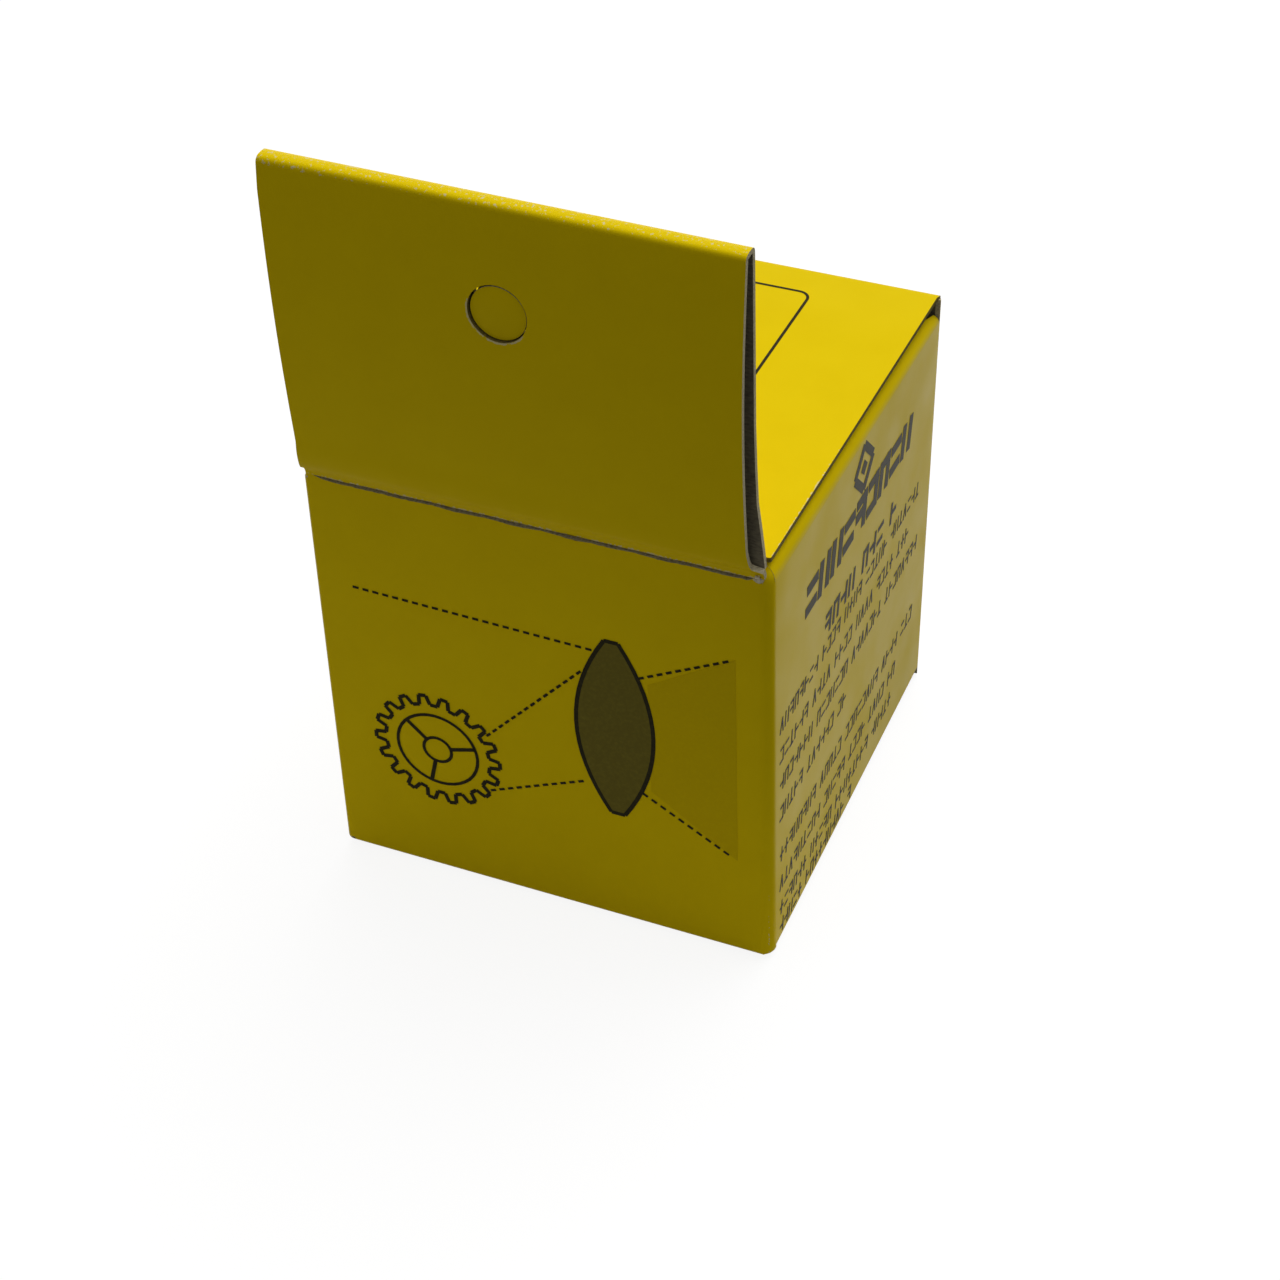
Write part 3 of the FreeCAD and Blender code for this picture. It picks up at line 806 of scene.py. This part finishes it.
def dust_sheet(radius, front_y, back_y, sag):
    """A dust flap with its rounded fold up from the side wall, mitred beside the lid's hinge, and
    pressed down a little there."""
    fold_x = wall - radius
    root_x = fold_x - dust_root
    dust = panel("top_dust_sheet_right", ((fold_x + root_x) / 2, (back_y + front_y) / 2, dust_top),
                 (dust_root, back_y - front_y))
    edit(dust)
    cut_across((0, dust_flap_y, 0), ALONG_Y)
    choose(dust, "EDGE", lambda c: all(v.x > fold_x - near for v in c))
    turn_edge((fold_x, 0, dust_top - radius), -90, fold_steps, axis=ALONG_Y)
    mitre_y = root_x - dust_mitre_gap
    shape = bmesh.from_edit_mesh(dust.data)
    for vert in shape.verts:
        turned = (vert.co.z - dust_top) / radius + 1
        if vert.co.y > back_y - near:
            vert.co.z -= sag * turned
            vert.co.y -= (back_y - mitre_y) * max(0, turned - dust_mitre_share) / (1 - dust_mitre_share)
    bmesh.update_edit_mesh(dust.data)
    edge_x = root_x
    for step in (dust_shoulder, root_x - dust_shoulder - dust_end_x):
        choose(dust, "EDGE", lambda c: all(v.x < edge_x + near and v.y > dust_flap_y - near for v in c))
        grow((-step, 0, 0))
        edge_x -= step
        choose(dust, "VERT", lambda c: c[0].x < edge_x + near and c[0].y > 0)
        bpy.ops.transform.translate(value=(0, -step, 0))
    choose(dust, "VERT", lambda c: c[0].x < dust_end_x + near and c[0].y < 0)
    bpy.ops.transform.translate(value=(0, dust_taper, 0))
    choose(dust, "VERT", lambda c: c[0].x < dust_end_x + near)
    bpy.ops.mesh.bevel(offset=dust_corner, segments=6, affect="VERTICES")
    done()
    face_out(dust, (0, 0, turn_middle_z))
    thicken(dust)
    smooth(dust)
    return dust


def lid_slope():
    """The lid stands a little proud at its hinge, and level with the front at its tuck flap."""
    share = lid_rise / (back_wall - tuck_fold_y)
    slope = Matrix.Identity(4)
    slope[2][1] = share
    slope[2][3] = -share * tuck_fold_y
    return slope


def closures():
    """Lid, tuck and dust flaps, and the base's own set, made the same way and turned over."""
    over = Matrix.Translation((0, 0, turn_middle_z)) @ Matrix.Rotation(math.pi, 4, "X")
    over = over @ Matrix.Translation((0, 0, -turn_middle_z))
    mirror = Matrix.Scale(-1, 4, ALONG_X)
    # The lid's cut edges take the darker cut board: painted shade of the gap over the dust folds
    lid, tuck = lid_sheet(back_wall, lid_fold_radius, lid_fold_half, shaded_cut_edge), tuck_sheet()
    dust = dust_sheet(dust_fold_radius, dust_front_y, dust_back_y, dust_sag)
    lid.data.transform(lid_slope())
    dust_left = twin(dust, "top_dust_sheet_left", mirror, True)
    base = lid_sheet(wall, base_fold_radius, base_fold_half, printed_board)
    base.name = base.data.name = "base_sheet"
    base.data.transform(over)
    base_tuck = twin(tuck, "base_tuck_sheet", over, False)
    base_dust = dust_sheet(base_dust_fold_radius, base_dust_front_y, base_dust_back_y, 0)
    base_dust.name = base_dust.data.name = "bottom_dust_sheet_right"
    base_dust.data.transform(over)
    base_dust_left = twin(base_dust, "bottom_dust_sheet_left", mirror, True)
    lid_start = (0, wall - fold_lead, carton_top - base_fold_radius)
    lid_end = (0, wall - base_fold_radius, carton_top)
    flap_start = (0, tuck_fold_y + fold_lead, carton_top)
    flap_end = (0, tuck_fold_y - tuck_fold_radius, carton_top - tuck_fold_radius)
    dust_start = (wall - fold_lead, 0, dust_top - dust_fold_radius)
    dust_end = (wall - dust_fold_radius, 0, dust_top)
    plan = [
        (lid, "lid_panel", "carton", "lid", lid_start, lid_end),
        (tuck, "lid_tuck_flap", "lid", "lid_tuck", flap_start, flap_end),
        (dust, "top_dust_flap_right", "carton", "top_dust_right", dust_start, dust_end),
        (dust_left, "top_dust_flap_left", "carton", "top_dust_left", dust_start, dust_end),
        (base, "bottom_panel", "carton", "base", lid_start, lid_end),
        (base_tuck, "bottom_tuck_flap", "base", "base_tuck", flap_start, flap_end),
        (base_dust, "bottom_dust_flap_right", "carton", "bottom_dust_right", dust_start, dust_end),
        (base_dust_left, "bottom_dust_flap_left", "carton", "bottom_dust_left", dust_start, dust_end),
    ]
    for piece, node, fixed, moving, start, end in plan:
        start, end = Vector(start), Vector(end)
        if node.startswith("bottom"):
            start, end = over @ start, over @ end
        if node.endswith("left"):
            start, end = mirror @ start, mirror @ end
        settle(piece)
        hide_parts(node)
        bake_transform(piece)


# Hang tab
def tab_centres():
    """Where the tab's bends have their centres in the YZ plane, root first."""
    spot = Vector((0, crease_y, crease_z))
    centres = []
    for lean, next_lean, bend in zip(tab_leans, tab_leans[1:], tab_bends):
        way = 1 if next_lean > lean else -1
        outward = Vector((0, -math.cos(lean), -math.sin(lean)))
        next_outward = Vector((0, -math.cos(next_lean), -math.sin(next_lean)))
        centre = spot + outward * bend * way
        centres.append(centre)
        spot = centre - next_outward * bend * way
    return centres


def edge_at(table, z):
    """Where an edge lies at a height, from a table of heights and places."""
    for (low, first), (high, last) in zip(table, table[1:]):
        if z < high:
            return first + (last - first) * max(0, z - low) / (high - low)
    return table[-1][1]


def shape_tab_edges(tab):
    """Both plies spread towards the corner at their foot, the front one bows out at both sides, and
    the top fold is squarer than round."""
    shape = bmesh.from_edit_mesh(tab.data)
    top = tab_fold_centre[1]
    for vert in shape.verts:
        front = vert.co.y < tab_fold_centre[0]
        if vert.co.x > 0:
            vert.co.x = edge_at(front_edge if front else back_edge, vert.co.z)
            if front and vert.co.z < top:
                bow = math.sin(math.pi * (vert.co.z - crease_z) / (top - crease_z))
                vert.co.y -= tab_twist * bow
        elif front:
            vert.co.y += edge_at(left_bow, vert.co.z)
        if vert.co.z > top + near:
            deep = (vert.co.y - tab_fold_centre[0]) / tab_fold_radius
            up = (vert.co.z - top) / tab_fold_radius
            squared = math.copysign(abs(deep) ** tab_top_square, deep)
            vert.co.y = tab_fold_centre[0] + squared * tab_fold_radius
            vert.co.z = top + up ** tab_top_square * tab_fold_radius
    bmesh.update_edit_mesh(tab.data)


def shape_tab_foot(tab, low_z):
    """The broken edge reaches a little lower at the left corner."""
    for vert in tab.data.vertices:
        if vert.co.z < low_z + tab_foot_height and vert.co.y < crack_front_y:
            vert.co.z -= tab_foot_drop * max(0, 1 - (vert.co.x - tab_left) / tab_foot_width)


def hang_tab():
    """One sheet: up the back, over the top fold, down the front face, round the belly to the crack."""
    width = tab_right - tab_left
    middle_x = (tab_right + tab_left) / 2
    fold_y, fold_z = tab_fold_centre
    back_y = fold_y + tab_fold_radius
    tab = panel("hang_tab_sheet", (middle_x, back_y, (tab_back_low + fold_z) / 2),
                (width, fold_z - tab_back_low), (-math.pi / 2, 0, 0))
    centres = tab_centres()
    turns = [math.degrees(b - a) for a, b in zip(tab_leans, tab_leans[1:])]
    edit(tab)
    for z, _ in back_edge[1:-1]:
        cut_across((0, 0, z), ALONG_Z)
    choose(tab, "EDGE", lambda c: all(v.z > fold_z - near for v in c))
    turn_edge((0, fold_y, fold_z), -180 - math.degrees(tab_leans[-1]), tab_fold_steps)
    for i, steps in ((2, tab_face_steps), (1, tab_belly_steps), (0, tab_root_steps)):
        turn_edge(tuple(centres[i]), turns[i], steps)
    shape_tab_edges(tab)
    done()
    low_z = min(vert.co.z for vert in tab.data.vertices if vert.co.y < crease_y)
    rough_edge(tab, low_z, crack_rows[1], crack_tab_share, 0)
    shape_tab_foot(tab, low_z)
    face_out(tab, (0, fold_y, (fold_z + tab_back_low) / 2))
    thicken(tab)
    # The hang hole's walls take the darker cut board: painted shade inside the hole
    tab.data.materials.append(shaded_cut_edge)
    for radius, y in ((hole_radius, fold_y - tab_fold_radius), (back_hole_radius, back_y)):
        cutter = disc("cutter", (hole_x, y, hole_z), radius, cutter_depth, cutter_sides,
                      (math.pi / 2, 0, 0))
        for material in (printed_board, shaded_grey_back, cut_edge, shaded_cut_edge):
            cutter.data.materials.append(material)
        cutter.data.polygons.foreach_set("material_index", [3] * len(cutter.data.polygons))
        modify(tab, "BOOLEAN", operation="DIFFERENCE", object=cutter, solver="EXACT")
        bpy.data.objects.remove(cutter)
    smooth(tab)
    settle(tab)
    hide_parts("tab_front_ply", "tab_top_fold", "tab_back_ply")
    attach(tab, "hang_tab")
    return tab


def tab_bridges():
    """The two uncut ends of the crack, which bend between the front panel and the tab."""
    low_z, high_z = crack_low_z - bridge_reach[0], crease_z + bridge_reach[1]
    strips = []
    for low_x, high_x in bridge_ends:
        strip = panel("strip", ((low_x + high_x) / 2, -wall - bridge_proud, (low_z + high_z) / 2),
                      (high_x - low_x, high_z - low_z), (math.pi / 2, 0, 0))
        edit(strip)
        bpy.ops.mesh.select_all(action="SELECT")
        bpy.ops.mesh.subdivide(number_cuts=bridge_cuts)
        done()
        strips.append(strip)
    bridges = joined(strips, "crack_bridges")
    face_out(bridges, (0, 0, turn_middle_z))
    thicken(bridges)
    smooth(bridges)
    settle(bridges)
    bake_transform(bridges)


def torn_foot():
    """Torn board where the crack ends at the right: a frayed roll round the front ply's foot, and
    a lump of fibres under it."""
    low_x, high_x = fibre_sides
    first_y, last_y = fibre_ends
    roll = panel("torn_foot", ((low_x + high_x) / 2, first_y, fibre_z), (high_x - low_x, fibre_size))
    edit(roll)
    bpy.ops.mesh.select_all(action="SELECT")
    bpy.ops.mesh.subdivide(number_cuts=2)
    bpy.ops.mesh.select_all(action="SELECT")
    turn_edge((0, (first_y + last_y) / 2, fibre_z), fibre_turn, 12, axis=(-1, 0, 0))
    bpy.ops.mesh.select_all(action="SELECT")
    bpy.ops.mesh.remove_doubles(threshold=fibre_merge)
    done()
    bpy.ops.object.select_all(action="DESELECT")
    bpy.ops.mesh.primitive_ico_sphere_add(subdivisions=4, radius=1, location=fibre_lump)
    bpy.context.object.scale = fibre_lump_size
    torn = joined([roll, begin("lump")], "torn_foot")
    edit(torn)
    bpy.ops.mesh.select_all(action="SELECT")
    bpy.ops.mesh.normals_make_consistent(inside=False)
    shape = bmesh.from_edit_mesh(torn.data)
    noise.seed_set(fibre_seed)
    for vert in shape.verts:
        vert.co += fibre_fray * noise.noise_vector(vert.co * fibre_pitch)
    bmesh.update_edit_mesh(torn.data)
    done()
    torn.data.materials.append(torn_fibre)
    smooth(torn, 50)
    settle(torn)
    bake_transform(torn)


def plugs():
    """The two discs left in the hang hole. The front one is pushed in a little at its lower left."""
    back_y = tab_fold_centre[0] + tab_fold_radius - board / 2
    plan = [
        ("hang_hole_plug_front", "tab_front_plug", "front_plug", plug_front_y + plug_sink,
         hole_radius - plug_gap, plug_tilt, plug_edges),
        ("hang_hole_plug_back", "tab_back_plug", "back_plug", back_y,
         back_hole_radius - back_plug_gap, back_plug_tilt, back_plug_edges),
    ]
    for name, node, body, y, radius, tilt, edges in plan:
        plug = disc(name, (0, 0, 0), radius, board, plug_sides, (math.pi / 2, 0, 0))
        for material in (printed_board, cut_edge):
            plug.data.materials.append(material)
        for polygon in plug.data.polygons:
            polygon.material_index = 0 if abs(polygon.normal.y) > 0.5 else 1
        edit(plug)
        for side, size in zip((-1, 1), edges):
            choose(plug, "EDGE", lambda c: all(v.y * side > board / 2 - near for v in c))
            bpy.ops.mesh.bevel(offset=size, segments=2, affect="EDGES")
        done()
        turn = Matrix.Rotation(tilt[0], 4, "X") @ Matrix.Rotation(tilt[1], 4, "Z")
        plug.data.transform(Matrix.Translation((hole_x + plug_shift[0], y, hole_z + plug_shift[1])) @ turn)
        smooth(plug)
        settle(plug)
        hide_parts(node)
        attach(plug, body)


# Printing: thin films of ink that lie on the board
def film(outlines, depth, z):
    """Flat closed outlines in XY, drawn as one mesh with the ink's height."""
    mesh = bpy.data.meshes.new("film")
    shape = bmesh.new()
    faces = []
    for i, points in enumerate(outlines):
        level = z + i % ink_levels * ink_step
        face = shape.faces.new([shape.verts.new((x, y, level)) for x, y in points])
        face.normal_update()
        if face.normal.z < 0:
            face.normal_flip()
        faces.append(face)
    grown = bmesh.ops.extrude_face_region(shape, geom=faces)
    risen = [part for part in grown["geom"] if isinstance(part, bmesh.types.BMVert)]
    bmesh.ops.translate(shape, verts=risen, vec=(0, 0, depth))
    bmesh.ops.recalc_face_normals(shape, faces=shape.faces)
    shape.to_mesh(mesh)
    shape.free()
    piece = bpy.data.objects.new("film", mesh)
    bpy.context.scene.collection.objects.link(piece)
    return piece


def stroke(first, last, width):
    """A straight printed line between two points."""
    first, last = Vector(first), Vector(last)
    side = (last - first).normalized().orthogonal() * width / 2
    return [tuple(first - side), tuple(last - side), tuple(last + side), tuple(first + side)]


def ring_points(centre, radius, turns):
    """Points round a centre, at shares of a whole turn."""
    x, y = centre
    angles = [2 * math.pi * turn for turn in turns]
    return [(x + radius * math.cos(angle), y + radius * math.sin(angle)) for angle in angles]


def closed_path(points, width):
    return [stroke(a, b, width) for a, b in zip(points, points[1:] + points[:1])]


def dashes(first, last, dash, gap, width):
    first, last = Vector(first), Vector(last)
    way = (last - first).normalized()
    count = int((last - first).length / (dash + gap))
    return [stroke(first + way * i * (dash + gap), first + way * (i * (dash + gap) + dash), width)
            for i in range(count)]


def print_on(name, groups, matrix, body):
    """Lay groups of outlines on a wall, each group in its ink, as one piece."""
    layers = []
    for layer, (material, outlines) in enumerate(groups):
        piece = film(outlines, ink_height, ink_lift + layer * ink_height)
        piece.data.materials.append(material)
        layers.append(piece)
    whole = joined(layers, name)
    whole.data.transform(matrix)
    settle(whole)
    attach(whole, body)


def front_picture():
    """A plain drawing for a watch tool: a lens on edge, a toothed wheel and dashed lines of sight."""
    teeth = [ring_points(wheel_centre, radius, [(i + share) / wheel_teeth])[0]
             for i in range(wheel_teeth) for share, radius in tooth_shares]
    rims = []
    for radius, sides in wheel_rims:
        corners = ring_points(wheel_centre, radius, [i / sides for i in range(sides)])
        rims += closed_path(corners, wheel_line)
    spokes = []
    for angle in spoke_angles:
        inner, outer = (ring_points(wheel_centre, radius, [angle / (2 * math.pi)])[0]
                        for radius, _ in wheel_rims)
        spokes.append(stroke(inner, outer, picture_line))
    heights = [lens_half * (i / lens_steps - 1) for i in range(2 * lens_steps + 1)]
    bulges = [lens_edge + lens_bulge * (1 - (y / lens_half) ** 2) for y in heights]
    lens = [(lens_centre[0] + bulge, lens_centre[1] + y) for y, bulge in zip(heights, bulges)]
    lens += [(lens_centre[0] - bulge, lens_centre[1] + y) for y, bulge in zip(heights[::-1], bulges[::-1])]
    sight = []
    for first, last in sight_ends:
        sight += dashes(first, last, sight_dash, sight_gap, sight_line)
    lines = closed_path(lens, picture_line) + closed_path(teeth, picture_line) + rims + spokes + sight
    stand = Matrix.Translation((0, -wall, 0)) @ Matrix.Rotation(math.pi / 2, 4, "X")
    print_on("front_print", [(tint_board, [tint_corners]), (ink_screen, [lens]), (ink_black, lines)],
             stand, "carton")


def marks(picks, row, mark, group):
    """A row of plain slanted marks in groups, each drawn from a few straight strokes."""
    z, first, last = row
    width, height, line, gap = mark
    outlines = []
    place, left = first, picks.randint(*group)
    while place + width < last:
        for ends in picks.choice(mark_shapes):
            start, end = (Vector((place + x * (width - line) + line / 2 + (y - 0.5) * height * mark_slant,
                                  z + y * (height - line) + line / 2)) for x, y in ends)
            way = (end - start).normalized() * line / 2
            outlines.append(stroke(start - way, end + way, line))
        place += width + gap
        left -= 1
        if left == 0:
            place += width
            left = picks.randint(*group)
    return outlines


def side_lines():
    """Rows of plain marks in the places of words, under a row of broad ones and a diamond."""
    picks = random.Random(11)
    outlines = marks(picks, broad_row, broad_mark, broad_group)
    outlines += marks(picks, short_row, short_mark, short_group)
    for z, last in plain_rows:
        outlines += marks(picks, (z, plain_start, last), plain_mark, plain_group)
    middle_y, middle_z = diamond_centre
    diamond, core = ([(middle_y + reach, middle_z), (middle_y, middle_z + reach),
                      (middle_y - reach, middle_z), (middle_y, middle_z - reach)]
                     for reach in (diamond_reach, diamond_core_share * diamond_reach))
    outlines += closed_path(diamond, diamond_line) + [core]
    stand = Matrix.Rotation(math.pi / 2, 4, "Z") @ Matrix.Rotation(math.pi / 2, 4, "X")
    print_on("side_print", [(ink_black, outlines)], Matrix.Translation((wall, 0, 0)) @ stand, "carton")


def lid_frame():
    """A printed frame with rounded corners on the lid, and a plain bar in it."""
    across, low, high = frame_half - frame_radius, frame_low + frame_radius, frame_high - frame_radius
    points = []
    for i, centre in enumerate(((across, high), (-across, high), (-across, low), (across, low))):
        turns = [(i + step / frame_steps) / 4 for step in range(frame_steps + 1)]
        points += ring_points(centre, frame_radius, turns)
    bar = [(-bar_half, bar_low), (bar_half, bar_low), (bar_half, bar_high), (-bar_half, bar_high)]
    print_on("lid_print", [(ink_black, closed_path(points, frame_line) + [bar])],
             lid_slope() @ Matrix.Translation((0, 0, carton_top)), "lid")


# The loupe and the glue flap keep their CAD shapes
def dress_nodes():
    """Give each CAD node that stays its own finish."""
    finishes = {
        "eyecup_shell": moulded_black(),
        "lens_spacer": spacer_black(),
        "lens_ring": anodised_black(),
        "glue_flap": shaded_grey_back,
    }
    glass = lens_glass()
    finishes["eye_lens"] = finishes["field_lens"] = glass
    for node, material in finishes.items():
        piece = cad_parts[node]
        piece.data.materials.clear()
        piece.data.materials.append(material)


# Table, light and camera
def direct_view(tree):
    """1 for rays that see a thing: from the camera, off a gloss or through glass."""
    path = add(tree, "ShaderNodeLightPath")
    seen = add(tree, "ShaderNodeMath", {"operation": "MAXIMUM"},
               links={0: (path, "Is Camera Ray"), 1: (path, "Is Glossy Ray")})
    return add(tree, "ShaderNodeMath", {"operation": "MAXIMUM"},
               links={0: (seen, 0), 1: (path, "Is Transmission Ray")})


def table():
    """A pale floor that keeps the shadow. The light that it throws back is strongest in front of the
    carton and at its left."""
    bpy.ops.object.select_all(action="DESELECT")
    bpy.ops.mesh.primitive_plane_add(size=floor_size, location=(0, 0, -floor_drop))
    floor = bpy.context.object
    floor.name = "floor"
    material, tree, place = new_material("white_table")
    shade = add(tree, "ShaderNodeBsdfDiffuse", values={"Color": linear("707070")})
    glow = add(tree, "ShaderNodeEmission", values={"Color": linear("FFFFFF"), "Strength": floor_glow})
    pale = add(tree, "ShaderNodeAddShader", links={0: (shade, 0), 1: (glow, 0)})
    away = add(tree, "ShaderNodeVectorMath", {"operation": "DISTANCE"}, {1: bounce_centre}, {0: place})
    fade = add(tree, "ShaderNodeMapRange", values={1: bounce_near, 2: bounce_far},
               links={0: (away, "Value")})
    level = add(tree, "ShaderNodeMix", {"data_type": "RGBA"}, {6: linear("CCCCCC"), 7: linear("404040")},
                {0: (fade, 0)})
    bounce = add(tree, "ShaderNodeBsdfDiffuse", links={"Color": (level, 2)})
    both = add(tree, "ShaderNodeMixShader", links={0: (direct_view(tree), 0), 1: (bounce, 0), 2: (pale, 0)})
    add(tree, "ShaderNodeOutputMaterial", links={"Surface": (both, 0)})
    floor.data.materials.append(material)


def light():
    """A white surround that lights weakly, and one soft lamp from above and behind."""
    world = bpy.data.worlds.new("surround")
    bpy.context.scene.world = world
    world.use_nodes = True
    tree = world.node_tree
    tree.nodes.clear()
    dim = add(tree, "ShaderNodeBackground", values={"Color": linear("FFFFFF"), "Strength": surround_light})
    white = add(tree, "ShaderNodeBackground", values={"Color": linear("FFFFFF"), "Strength": 1.0})
    both = add(tree, "ShaderNodeMixShader", links={0: (direct_view(tree), 0), 1: (dim, 0), 2: (white, 0)})
    add(tree, "ShaderNodeOutputWorld", links={"Surface": (both, 0)})
    lamp = bpy.data.lights.new("softbox", "AREA")
    lamp.shape = "DISK"
    lamp.size = lamp_size
    lamp.energy = lamp_energy
    holder = bpy.data.objects.new("softbox", lamp)
    bpy.context.scene.collection.objects.link(holder)
    way = Vector(lamp_way).normalized()
    holder.location = way * lamp_distance
    holder.rotation_euler = way.to_track_quat("Z", "Y").to_euler()


def camera():
    """The photograph's viewpoint, worked out from the carton's corners."""
    turn, rise, roll = (math.radians(value) for value in (24.35, 38.98, -2.03))
    distance, target = 268.7 * MM, Vector((0, 0, 15.6 * MM))
    focal_pixels, image_pixels = 2619, 1280
    back = Vector((math.sin(turn) * math.cos(rise), -math.cos(turn) * math.cos(rise), math.sin(rise)))
    right = (-back).cross(Vector((0, 0, 1))).normalized()
    up = right.cross(-back)
    turned_right = right * math.cos(roll) + up * math.sin(roll)
    turned_up = up * math.cos(roll) - right * math.sin(roll)
    eye = bpy.data.cameras.new("photo_view")
    eye.sensor_width = 36
    eye.lens = eye.sensor_width * focal_pixels / image_pixels
    eye.clip_start = 0.01
    holder = bpy.data.objects.new("photo_view", eye)
    bpy.context.scene.collection.objects.link(holder)
    turned = Matrix((turned_right, turned_up, back)).transposed().to_4x4()
    holder.matrix_world = Matrix.Translation(target + back * distance) @ turned
    bpy.context.scene.camera = holder


bpy.context.scene.view_settings.view_transform = "Standard"
camera()
table()
light()
carton_sleeve()
closures()
hang_tab()
tab_bridges()
torn_foot()
plugs()
front_picture()
side_lines()
lid_frame()
dress_nodes()
